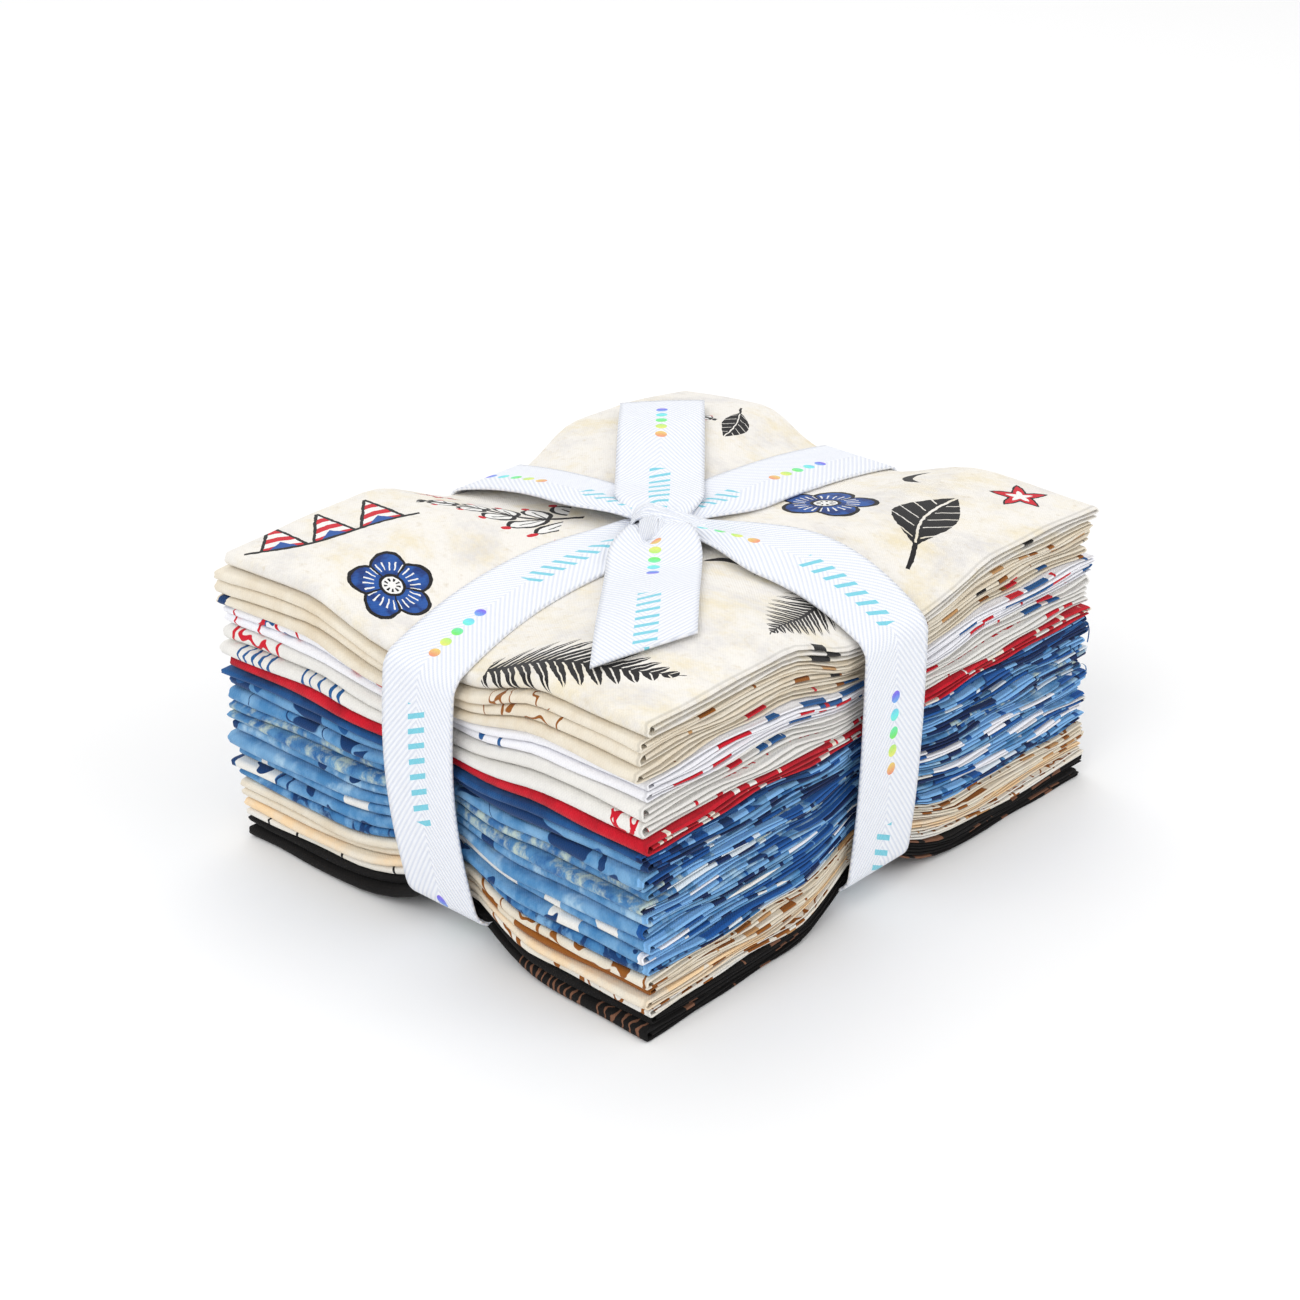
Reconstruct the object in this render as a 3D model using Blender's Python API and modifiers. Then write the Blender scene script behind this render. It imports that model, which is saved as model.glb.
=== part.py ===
"""Fat quarter bundle: twenty-five folded cotton fabrics tied with one twill ribbon.

World frame, in metres: the origin is under the middle of the stack, on the surface
that it rests on. X runs along the folded length, Y along the folded depth and Z up.
Every fabric is folded in thirds one way and then in thirds the other way. Its solid
is the last fold: a sheet that runs back and forth three times, with its big rounded
fold at -X, a small fold and a loose edge at +X. The ribbon goes round the stack both
ways, so it presses a cross of valleys into the top and lifts the underside in two
strips, and between them stand four soft lobes.
"""
import math
from collections import namedtuple

import bmesh
import bpy
from mathutils import Vector

MM = 0.001

# Driving dimensions
CUT_LENGTH = 559 * MM
CUT_WIDTH = 457 * MM
FOLDS = 3
LENGTH = CUT_LENGTH / FOLDS
DEPTH = CUT_WIDTH / FOLDS
PIECE_GAP = 0.42 * MM
LAYER_GAP = 0.20 * MM

# Form of the tied stack: heights above the surface that it rests on
VALLEY_HEIGHT = 76.0 * MM
LIFT_AT_MIDDLE = 4.5 * MM
LIFT_AT_SIDE = 9.0 * MM
EDGE_DROP = 0.5
CREST_PLACE = 0.5
FLAT_HALF_WIDTH = 10.0 * MM
VALLEY_HALF_WIDTH = 44.0 * MM
LIFT_HALF_WIDTH = 36.0 * MM
SIDE_DRAW_IN = 2.8 * MM
SHIFT_FULL = 13.0 * MM
SHIFT_NONE = 64.0 * MM
SIDE_SHIFT_POWER = 3

# Uneven fold edges
EDGE_WAVE = 0.7 * MM
EDGE_WAVE_LENGTH = 95.0 * MM
LAYER_STEP = 0.5 * MM
PHASE_STEP = 2.4
TUCK_CLEARANCE = 1.5 * MM

# Twill ribbon
RIBBON_WIDTH = 25.4 * MM
RIBBON_THICKNESS = 1.1 * MM
RIBBON_CLEARANCE = 0.6 * MM
RIBBON_STEP = 0.55 * MM
RIBBON_CORNER = 4.5 * MM
SIDE_CLEARANCE = 1.0 * MM
KNOT_SIZE = Vector((19.0, 17.0, 12.0)) * MM
KNOT_BASE = 0.6 * MM
KNOT_PLACE = Vector((3.0, 7.0)) * MM
WRAP_RADIUS = 4.6 * MM
WRAP_THICKNESS = 1.9 * MM
WRAP_TURN = -47
WRAP_FLARE = 2.0

# Where the sheets bend: the same places in every layer, so that the layers stay parallel
BENDS_X = [-64 * MM, -36 * MM, -13 * MM, 13 * MM, 36 * MM, 64 * MM]
BENDS_Y = [-DEPTH / 2, -36 * MM, -13 * MM, 13 * MM, 36 * MM, DEPTH / 2]
BIG_FOLD_ANGLES = (250, 180, 110)
SMALL_FOLD_ANGLES = (70, 0, -70)

Fabric = namedtuple("Fabric", "name pitch shift_x shift_y short loose turned colour")
Lobe = namedtuple("Lobe", "side_x side_y corner crest")
Arm = namedtuple("Arm", "axis side knot_width spread arch top_shift bow foot_shift")
Tail = namedtuple("Tail", "name heading length slant perch")

# One row a fabric, top to bottom, in millimetres: its share of the height, how far it lies
# off the middle, how far it falls short at +Y, how far its loose edge is drawn in, and
# whether it lies upside down
FABRICS = [
    Fabric("fabric_01", 4.0, 0.2, 0.2, 0.0, 1.2, False, (0.83, 0.77, 0.63)),
    Fabric("fabric_02", 2.7, -1.3, 0.6, 0.0, 2.0, True, (0.75, 0.67, 0.51)),
    Fabric("fabric_03", 3.5, -0.5, 1.2, 0.0, 0.8, False, (0.75, 0.67, 0.51)),
    Fabric("fabric_04", 3.4, -1.5, 1.5, 0.0, 2.6, False, (0.78, 0.72, 0.60)),
    Fabric("fabric_05", 3.2, 1.0, 0.2, 0.0, 1.0, True, (0.90, 0.90, 0.93)),
    Fabric("fabric_06", 2.8, 1.5, 0.9, 0.0, 1.6, False, (0.91, 0.91, 0.94)),
    Fabric("fabric_07", 3.9, 0.3, 1.1, 0.0, 2.2, False, (0.85, 0.84, 0.80)),
    Fabric("fabric_08", 3.9, -0.8, 0.4, 0.0, 0.9, True, (0.85, 0.84, 0.80)),
    Fabric("fabric_09", 3.4, -0.2, -0.4, 0.0, 1.4, False, (0.68, 0.01, 0.02)),
    Fabric("fabric_10", 2.4, -1.2, 0.3, 0.0, 2.4, False, (0.03, 0.14, 0.33)),
    Fabric("fabric_11", 3.7, 0.6, -0.1, 0.0, 1.1, True, (0.03, 0.12, 0.30)),
    Fabric("fabric_12", 3.3, -0.4, 0.8, 0.0, 1.9, False, (0.19, 0.39, 0.69)),
    Fabric("fabric_13", 3.0, 0.9, 0.1, 0.0, 0.7, False, (0.16, 0.35, 0.50)),
    Fabric("fabric_14", 3.4, -0.9, 0.6, 0.0, 2.1, True, (0.16, 0.35, 0.50)),
    Fabric("fabric_15", 3.4, 0.4, -0.3, 0.0, 1.3, False, (0.10, 0.26, 0.53)),
    Fabric("fabric_16", 3.4, -0.6, 0.5, 0.0, 2.3, False, (0.17, 0.37, 0.68)),
    Fabric("fabric_17", 3.1, 0.7, -0.5, 0.6, 1.0, True, (0.12, 0.29, 0.56)),
    Fabric("fabric_18", 3.4, -1.0, 0.0, 1.0, 1.7, False, (0.10, 0.25, 0.52)),
    Fabric("fabric_19", 3.0, 0.1, -0.7, 1.2, 2.5, False, (0.05, 0.18, 0.42)),
    Fabric("fabric_20", 3.1, -0.7, -0.9, 1.6, 0.8, True, (0.76, 0.68, 0.54)),
    Fabric("fabric_21", 2.7, 0.8, -1.1, 2.0, 1.8, False, (0.74, 0.62, 0.45)),
    Fabric("fabric_22", 2.7, -0.3, -0.8, 2.2, 1.2, False, (0.90, 0.74, 0.52)),
    Fabric("fabric_23", 2.7, 0.5, -1.0, 2.6, 2.0, True, (0.84, 0.80, 0.74)),
    Fabric("fabric_24", 3.1, 1.2, -0.8, 3.4, 0.9, False, (0.012, 0.010, 0.010)),
    Fabric("fabric_25", 3.0, -0.6, -0.9, 3.8, 1.5, True, (0.014, 0.011, 0.010)),
]
TOTAL_PITCH = sum(fabric.pitch for fabric in FABRICS) * MM
LAID_HEIGHT = TOTAL_PITCH - PIECE_GAP

# One row a lobe: its quarter, the height of its corner and how far its crest stands above that
LOBES = [
    Lobe(-1, -1, 80.5 * MM, 6.0 * MM),
    Lobe(1, -1, 82.5 * MM, 4.5 * MM),
    Lobe(-1, 1, 81.0 * MM, 7.5 * MM),
    Lobe(1, 1, 79.5 * MM, 7.5 * MM),
]

# One row an arm of the ribbon on top: its axis and side, its gathered width at the knot,
# the length over which it spreads to full width, how far it arches off the cloth, how far
# aside it lies at the side of the stack, how far it bows aside on the way, and how far
# aside it lies where it goes under the stack
ARMS = [
    Arm("X", -1, 18 * MM, 26 * MM, 0.0, 0.0, 1.0 * MM, -7.0 * MM),
    Arm("X", 1, 14 * MM, 34 * MM, 2.0 * MM, 5.0 * MM, 0.0, 2.0 * MM),
    Arm("Y", -1, 9 * MM, 52 * MM, 0.6 * MM, 6.0 * MM, 10.5 * MM, -3.0 * MM),
    Arm("Y", 1, 12 * MM, 36 * MM, 3.0 * MM, 4.0 * MM, 0.0, 0.0),
]

# One row a loose end: the way it points, its length from the knot, how far its cut end
# is slanted, and how far it stands off the cloth
TAILS = [
    Tail("ribbon_tail_front", -139.8, 83 * MM, -23 * MM, 1.4 * MM),
    Tail("ribbon_tail_back", 41.4, 85 * MM, 1 * MM, 2.0 * MM),
]
ACROSS = (-0.5, 0.0, 0.5)
GATHER_START = 6 * MM
ARM_PLACES = (0 * MM, 7 * MM, 16 * MM, 28 * MM, 42 * MM, 60 * MM)
FOOT_PLACES = (64 * MM, 40 * MM, 20 * MM)
TAIL_STATIONS = 12
TAIL_START = 3 * MM
TAIL_KNOT_WIDTH = 12 * MM
TAIL_SPREAD = 34 * MM
TAIL_LANDING = 30 * MM


def smooth_step(distance, start, end):
    """Go smoothly from 0 to 1 between two distances."""
    part = min(max((distance - start) / (end - start), 0.0), 1.0)
    return math.sin(0.5 * math.pi * part) ** 2


def droop(place):
    """How far a lobe has dropped at a place from the middle (0) to the side (1) of the stack."""
    beyond = min(max((place - CREST_PLACE) / (1 - CREST_PLACE), 0.0), 1.0)
    return EDGE_DROP * beyond ** 2


def top_height(x, y):
    """Height of the tied stack's top."""
    quarter = (1 if x > 0 else -1, 1 if y > 0 else -1)
    lobe = next(lobe for lobe in LOBES if (lobe.side_x, lobe.side_y) == quarter)
    drop = droop(abs(x) / (LENGTH / 2)) + droop(abs(y) / (DEPTH / 2))
    open_x = smooth_step(abs(x), FLAT_HALF_WIDTH, VALLEY_HALF_WIDTH)
    open_y = smooth_step(abs(y), FLAT_HALF_WIDTH, VALLEY_HALF_WIDTH)
    return VALLEY_HEIGHT + (lobe.corner - VALLEY_HEIGHT + lobe.crest * (1 - drop)) * open_x * open_y


def lift(along, across, half_side):
    """Height to which one strip of ribbon lifts the underside."""
    height = LIFT_AT_MIDDLE + (LIFT_AT_SIDE - LIFT_AT_MIDDLE) * (along / half_side) ** 2
    return height * (1 - smooth_step(abs(across), FLAT_HALF_WIDTH, LIFT_HALF_WIDTH))


def bottom_height(x, y):
    """Height of the tied stack's underside: zero under the four lobes."""
    return max(lift(x, y, LENGTH / 2), lift(y, x, DEPTH / 2))


def draw_in(along, across, half_side):
    """Move a place near a side inward where the ribbon presses it."""
    press = 1 - smooth_step(abs(across), FLAT_HALF_WIDTH, LIFT_HALF_WIDTH)
    return along - math.copysign(SIDE_DRAW_IN * press * abs(along / half_side) ** 6, along)


def arm_at(axis, along):
    """The arm of the ribbon that a place on the top belongs to."""
    side = 1 if along >= 0 else -1
    return next(arm for arm in ARMS if (arm.axis, arm.side) == (axis, side))


def ribbon_line(axis, along, share):
    """How far aside the ribbon's middle line lies, from the underside (share 0) to the top (1)."""
    arm = arm_at(axis, along)
    half_side, at_knot = (LENGTH / 2, KNOT_PLACE.y) if axis == "X" else (DEPTH / 2, KNOT_PLACE.x)
    part = min(abs(along) / half_side, 1.0)
    above = at_knot + (arm.top_shift - at_knot) * part + arm.bow * math.sin(math.pi * part)
    return above + (arm.foot_shift * part - above) * (1 - share) ** SIDE_SHIFT_POWER


def shift_aside(x, y, share):
    """Move a place aside with the ribbon lines near it."""
    with_x = ribbon_line("Y", y, share) * (1 - smooth_step(abs(x), SHIFT_FULL, SHIFT_NONE))
    with_y = ribbon_line("X", x, share) * (1 - smooth_step(abs(y), SHIFT_FULL, SHIFT_NONE))
    return x + with_x, y + with_y


def settle(x, y, level):
    """Move a point of the loose, square stack to its place in the tied one."""
    share = level / LAID_HEIGHT
    low = bottom_height(x, y)
    z = low + (top_height(x, y) - low) * share
    place = shift_aside(draw_in(x, y, LENGTH / 2), draw_in(y, x, DEPTH / 2), share)
    return Vector((*place, z))


def cloth_height_at(x, y):
    """Height of the top fabric at a place that is given in the tied stack."""
    loose_x, loose_y = x, y
    for _ in range(4):
        moved = shift_aside(loose_x, loose_y, 1.0)
        loose_x += x - moved[0]
        loose_y += y - moved[1]
    return top_height(loose_x, loose_y)


def edge_wave(phase, along):
    """Small in and out wander of a fold edge."""
    return EDGE_WAVE * math.sin(phase + 2 * math.pi * along / EDGE_WAVE_LENGTH)


def arc_pairs(centre_x, centre_level, outer, inner, angles):
    """Outer and inner points of a sheet that turns round a fold."""
    turns = [(math.cos(math.radians(angle)), math.sin(math.radians(angle))) for angle in angles]
    return [((centre_x + outer * c, centre_level + outer * s),
             (centre_x + inner * c, centre_level + inner * s)) for c, s in turns]


def fold_section(fabric, base):
    """The sheet's section as pairs of points, from its loose edge to its tucked one."""
    left = -LENGTH / 2 + fabric.shift_x * MM
    right = LENGTH / 2 + fabric.shift_x * MM
    height = fabric.pitch * MM - PIECE_GAP
    sheet = (height - 2 * LAYER_GAP) / FOLDS
    levels = [base + sheet / 2 + layer * (sheet + LAYER_GAP) for layer in range(FOLDS)]
    lower, middle, upper = levels
    half = sheet / 2
    section = [((x, lower - half), (x, lower + half)) for x in [right - fabric.loose * MM] + BENDS_X[::-1]]
    section += arc_pairs(left + height / 2, middle, height / 2, height / 2 - sheet, BIG_FOLD_ANGLES)
    section += [((x, upper + half), (x, upper - half)) for x in BENDS_X]
    turn = sheet + LAYER_GAP / 2
    section += arc_pairs(right - turn, (upper + middle) / 2, turn, LAYER_GAP / 2, SMALL_FOLD_ANGLES)
    tucked = left + sheet + TUCK_CLEARANCE
    section += [((x, middle - half), (x, middle + half)) for x in BENDS_X[::-1] + [tucked]]
    if fabric.turned:
        flip = 2 * base + height
        section = [((a[0], flip - a[1]), (b[0], flip - b[1])) for a, b in section]
    return section


def split_quads(bm):
    """Split every quad along the diagonal that runs square to the way out to the corner."""
    for face in list(bm.faces):
        corners = list(face.verts)
        middle = face.calc_center_median()
        outward = 1 if middle.x * middle.y > -MM * MM else -1
        diagonal = corners[2].co - corners[0].co
        first = 0 if diagonal.x * diagonal.y * outward <= 0 else 1
        bmesh.utils.face_split(face, corners[first], corners[first + 2])


def fabric_mesh(fabric, base, number):
    """The folded sheet as a closed mesh, extruded along Y and settled into the tied stack."""
    bm = bmesh.new()
    section = fold_section(fabric, base)
    start = BENDS_Y[0]
    outer = [bm.verts.new((a[0], start, a[1])) for a, b in section]
    inner = [bm.verts.new((b[0], start, b[1])) for a, b in section]
    slab = [bm.faces.new((outer[i], outer[i + 1], inner[i + 1], inner[i])) for i in range(len(section) - 1)]
    for near, far in zip(BENDS_Y, BENDS_Y[1:]):
        grown = bmesh.ops.extrude_face_region(bm, geom=slab)["geom"]
        if near != start:
            bmesh.ops.delete(bm, geom=slab, context="FACES")
        slab = [item for item in grown if isinstance(item, bmesh.types.BMFace)]
        moved = [item for item in grown if isinstance(item, bmesh.types.BMVert)]
        bmesh.ops.translate(bm, verts=moved, vec=(0, far - near, 0))
    split_quads(bm)
    phase = PHASE_STEP * number
    height = fabric.pitch * MM - PIECE_GAP
    for vert in bm.verts:
        x, y, level = vert.co
        if abs(x) > BENDS_X[-1] + MM:
            x += edge_wave(phase, y)
        if abs(y) > BENDS_Y[-2] + MM:
            layer = (level - base) / height
            y += fabric.shift_y * MM + edge_wave(phase + 1, x) - (fabric.short * MM if y > 0 else 0)
            y += LAYER_STEP * math.sin(phase + 4 * math.pi * layer)
        vert.co = settle(x, y, level)
    bmesh.ops.recalc_face_normals(bm, faces=bm.faces)
    mesh = bpy.data.meshes.new(fabric.name)
    bm.to_mesh(mesh)
    bm.free()
    return mesh


def cloth_material(name, colour, roughness):
    """A plain matt cloth finish."""
    material = bpy.data.materials.new(name)
    material.use_nodes = True
    shader = material.node_tree.nodes["Principled BSDF"]
    shader.inputs["Base Color"].default_value = (*colour, 1)
    shader.inputs["Roughness"].default_value = roughness
    shader.inputs["Metallic"].default_value = 0
    return material


def add_object(name, mesh, collection, material=None):
    """Link a mesh as a named object."""
    item = bpy.data.objects.new(name, mesh)
    collection.objects.link(item)
    if material:
        mesh.materials.append(material)
    return item


def loop_stations(axis, half_side, step):
    """Places along one half of a ribbon loop: along the axis, height, width and whether on top."""
    outward = half_side + SIDE_CLEARANCE + RIBBON_THICKNESS / 2
    above = VALLEY_HEIGHT + RIBBON_CLEARANCE + RIBBON_THICKNESS / 2 + step
    inward = outward - RIBBON_CORNER
    below = LIFT_AT_SIDE - RIBBON_CLEARANCE - RIBBON_THICKNESS / 2 - step
    stations = []
    for along in (*ARM_PLACES, inward):
        stations.append((along, above, True))
    for middle, angles in ((above - RIBBON_CORNER, (60, 30, 0)), (below + RIBBON_CORNER, (0, -30, -60))):
        for angle in angles:
            turn = math.radians(angle)
            stations.append((inward + RIBBON_CORNER * math.cos(turn),
                             middle + RIBBON_CORNER * math.sin(turn), False))
    for along in (inward, *FOOT_PLACES):
        height = lift(min(along, half_side), 0.0, half_side) - RIBBON_CLEARANCE
        stations.append((along, height - RIBBON_THICKNESS / 2 - step, False))
    return stations


def ribbon_loop(name, axis, half_side, step, collection):
    """One closed turn of the ribbon round the stack, along X or along Y."""
    half = loop_stations(axis, half_side, step)
    foot = LIFT_AT_MIDDLE - RIBBON_CLEARANCE - RIBBON_THICKNESS / 2 - step
    mirrored = [(-along, height, top) for along, height, top in half[1:]]
    path = half + [(0.0, foot, False)] + mirrored[::-1]
    bm = bmesh.new()
    rows = []
    for along, height, top in path:
        arm = arm_at(axis, along)
        spread = smooth_step(abs(along), GATHER_START, GATHER_START + arm.spread) if top else 1.0
        width = arm.knot_width + (RIBBON_WIDTH - arm.knot_width) * spread
        share = min(max((height - LIFT_AT_SIDE) / (VALLEY_HEIGHT - LIFT_AT_SIDE), 0.0), 1.0)
        if top:
            height += arm.arch * math.sin(math.pi * min(abs(along) / (half_side - RIBBON_CORNER), 1.0))
        aside = [ribbon_line(axis, along, share) + width * part for part in ACROSS]
        rows.append([bm.verts.new((along, y, height) if axis == "X" else (y, along, height)) for y in aside])
    for i, row in enumerate(rows):
        other = rows[(i + 1) % len(rows)]
        for j in range(2):
            bm.faces.new((row[j], row[j + 1], other[j + 1], other[j]))
    return thick_sheet(name, bm, collection)


def ribbon_tail(tail, collection):
    """A loose end of the ribbon, from inside the knot out over a lobe to its cut end."""
    heading = math.radians(tail.heading)
    ahead = Vector((math.cos(heading), math.sin(heading)))
    side = Vector((-ahead.y, ahead.x))
    knot_top = VALLEY_HEIGHT + KNOT_BASE + 0.6 * KNOT_SIZE.z
    bm = bmesh.new()
    rows = []
    for i in range(TAIL_STATIONS):
        part = i / (TAIL_STATIONS - 1)
        row = []
        for across in ACROSS:
            length = TAIL_START + (tail.length + tail.slant * across - TAIL_START) * part
            spread = smooth_step(length, 0.0, TAIL_SPREAD)
            width = TAIL_KNOT_WIDTH + (RIBBON_WIDTH - TAIL_KNOT_WIDTH) * spread
            place = KNOT_PLACE + ahead * length + side * width * across
            landed = smooth_step(length, 0.0, TAIL_LANDING)
            rest = cloth_height_at(place.x, place.y) + tail.perch + RIBBON_THICKNESS
            height = max(knot_top + (rest - knot_top) * landed, rest)
            row.append(bm.verts.new((place.x, place.y, height)))
        rows.append(row)
    for row, other in zip(rows, rows[1:]):
        for j in range(2):
            bm.faces.new((row[j], row[j + 1], other[j + 1], other[j]))
    return thick_sheet(tail.name, bm, collection)


def thick_sheet(name, bm, collection):
    """Give an open sheet the ribbon's thickness."""
    bmesh.ops.recalc_face_normals(bm, faces=bm.faces)
    mesh = bpy.data.meshes.new(name)
    bm.to_mesh(mesh)
    bm.free()
    item = add_object(name, mesh, collection)
    solid = item.modifiers.new("thickness", "SOLIDIFY")
    solid.thickness = RIBBON_THICKNESS
    solid.offset = 0
    solid.use_even_offset = True
    return item


def ribbon_knot(collection):
    """The tight knot that sits where the two valleys cross."""
    bm = bmesh.new()
    bmesh.ops.create_icosphere(bm, subdivisions=2, radius=0.5)
    bmesh.ops.scale(bm, vec=KNOT_SIZE, verts=bm.verts)
    middle = Vector((*KNOT_PLACE, VALLEY_HEIGHT + KNOT_BASE + KNOT_SIZE.z / 2))
    bmesh.ops.translate(bm, vec=middle, verts=bm.verts)
    mesh = bpy.data.meshes.new("ribbon_knot")
    bm.to_mesh(mesh)
    bm.free()
    return add_object("ribbon_knot", mesh, collection)


def knot_wrap(collection):
    """The turn of ribbon that crosses over the knot."""
    bpy.ops.mesh.primitive_torus_add(major_segments=14, minor_segments=6, major_radius=WRAP_RADIUS,
                                     minor_radius=WRAP_THICKNESS)
    wrap = bpy.context.object
    wrap.name = "ribbon_knot_wrap"
    for vert in wrap.data.vertices:
        vert.co.z *= WRAP_FLARE
    wrap.rotation_euler = (math.radians(90), 0, math.radians(WRAP_TURN))
    wrap.location = (*KNOT_PLACE, VALLEY_HEIGHT + KNOT_BASE + WRAP_RADIUS + WRAP_THICKNESS)
    for holder in list(wrap.users_collection):
        holder.objects.unlink(wrap)
    collection.objects.link(wrap)
    return wrap


def tie_ribbon(parts, guides, material):
    """Both turns, the knot and the two loose ends, joined into the one ribbon."""
    ribbon = ribbon_loop("ribbon", "X", LENGTH / 2, 0.0, parts)
    ribbon.data.materials.append(material)
    joined = [ribbon_loop("ribbon_short_turn", "Y", DEPTH / 2, RIBBON_STEP, guides), ribbon_knot(guides)]
    joined.append(knot_wrap(guides))
    joined += [ribbon_tail(tail, guides) for tail in TAILS]
    for guide in joined:
        guide.hide_render = True
        guide.display_type = "WIRE"
        union = ribbon.modifiers.new(guide.name, "BOOLEAN")
        union.operation = "UNION"
        union.solver = "EXACT"
        union.object = guide
    return ribbon


def build():
    """Lay the fabrics from the bottom up and tie them."""
    for item in list(bpy.data.objects):
        bpy.data.objects.remove(item, do_unlink=True)
    parts = bpy.data.collections.new("fat_quarter_bundle")
    guides = bpy.data.collections.new("guides")
    bpy.context.scene.collection.children.link(parts)
    bpy.context.scene.collection.children.link(guides)
    base = 0.0
    for number, fabric in reversed(list(enumerate(FABRICS, 1))):
        material = cloth_material(fabric.name, fabric.colour, 0.85)
        add_object(fabric.name, fabric_mesh(fabric, base, number), parts, material)
        base += fabric.pitch * MM
    tie_ribbon(parts, guides, cloth_material("ribbon", (0.86, 0.88, 0.93), 0.6))


build()
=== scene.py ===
"""Fat quarter bundle: twenty-five folded printed cottons tied both ways with one twill ribbon.

World frame, in metres: the origin is under the middle of the stack, on the floor. X runs
along the folded length, from the big rounded folds (-X) to the loose edges, Y along the
folded depth, and Z up. Every cotton is one sheet folded in thirds along its width and then
in thirds along its length, nine layers in all, and it lies in the same tied stack as the
solid that it replaces. The prints are drawn in the cloth's own coordinates, in
millimetres from the middle of its top panel, so they run round the folds.
"""
import logging
import math
from dataclasses import dataclass, field
from enum import Enum

import bpy
import numpy as np
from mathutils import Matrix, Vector


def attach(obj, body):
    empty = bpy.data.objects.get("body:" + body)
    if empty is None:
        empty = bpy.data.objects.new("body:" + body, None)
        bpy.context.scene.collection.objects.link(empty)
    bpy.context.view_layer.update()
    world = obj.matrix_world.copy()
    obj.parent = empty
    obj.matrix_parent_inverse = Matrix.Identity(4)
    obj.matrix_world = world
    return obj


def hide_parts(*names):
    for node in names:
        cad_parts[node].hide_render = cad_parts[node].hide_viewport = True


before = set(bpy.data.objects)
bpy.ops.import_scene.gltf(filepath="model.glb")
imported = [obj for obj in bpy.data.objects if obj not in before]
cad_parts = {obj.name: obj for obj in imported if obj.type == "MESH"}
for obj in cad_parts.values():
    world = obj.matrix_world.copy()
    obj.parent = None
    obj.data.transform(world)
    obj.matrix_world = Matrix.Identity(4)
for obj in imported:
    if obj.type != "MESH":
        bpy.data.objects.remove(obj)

logging.basicConfig(level=logging.INFO, format="%(message)s")
log = logging.getLogger("bundle")

MM = 0.001
ROOT = "root"
Pairs = tuple[tuple[float, float], ...]


def smooth_step(distance: np.ndarray, start: float, end: float) -> np.ndarray:
    """Go smoothly from 0 to 1 between two distances."""
    part = np.clip((distance - start) / (end - start), 0.0, 1.0)
    return np.sin(0.5 * np.pi * part) ** 2


class Axis(Enum):
    """The two ways that the ribbon goes round the stack."""

    LONG = "X"
    SHORT = "Y"


@dataclass(frozen=True)
class Lobe:
    """A quarter of the top: its corner's height and how far its crest stands above that, in mm."""

    side_x: int
    side_y: int
    corner: float
    crest: float


@dataclass(frozen=True)
class Arm:
    """A run of the ribbon from the knot over the side and under, in mm.

    Its gathered width at the knot, the length over which it spreads to full width, how far
    it arches off the cloth, how far aside it lies at the side of the stack, how far it bows
    aside on the way, how far aside it lies underneath, how deep its pleats are, how far
    it bows aside on the side face, and how high one edge stands (the other, if negative).
    """

    axis: Axis
    side: int
    knot_width: float
    spread: float
    arch: float
    top_shift: float
    bow: float
    foot_shift: float
    pleat: float
    side_bow: float = 0.0
    tilt: float = 0.0


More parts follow.
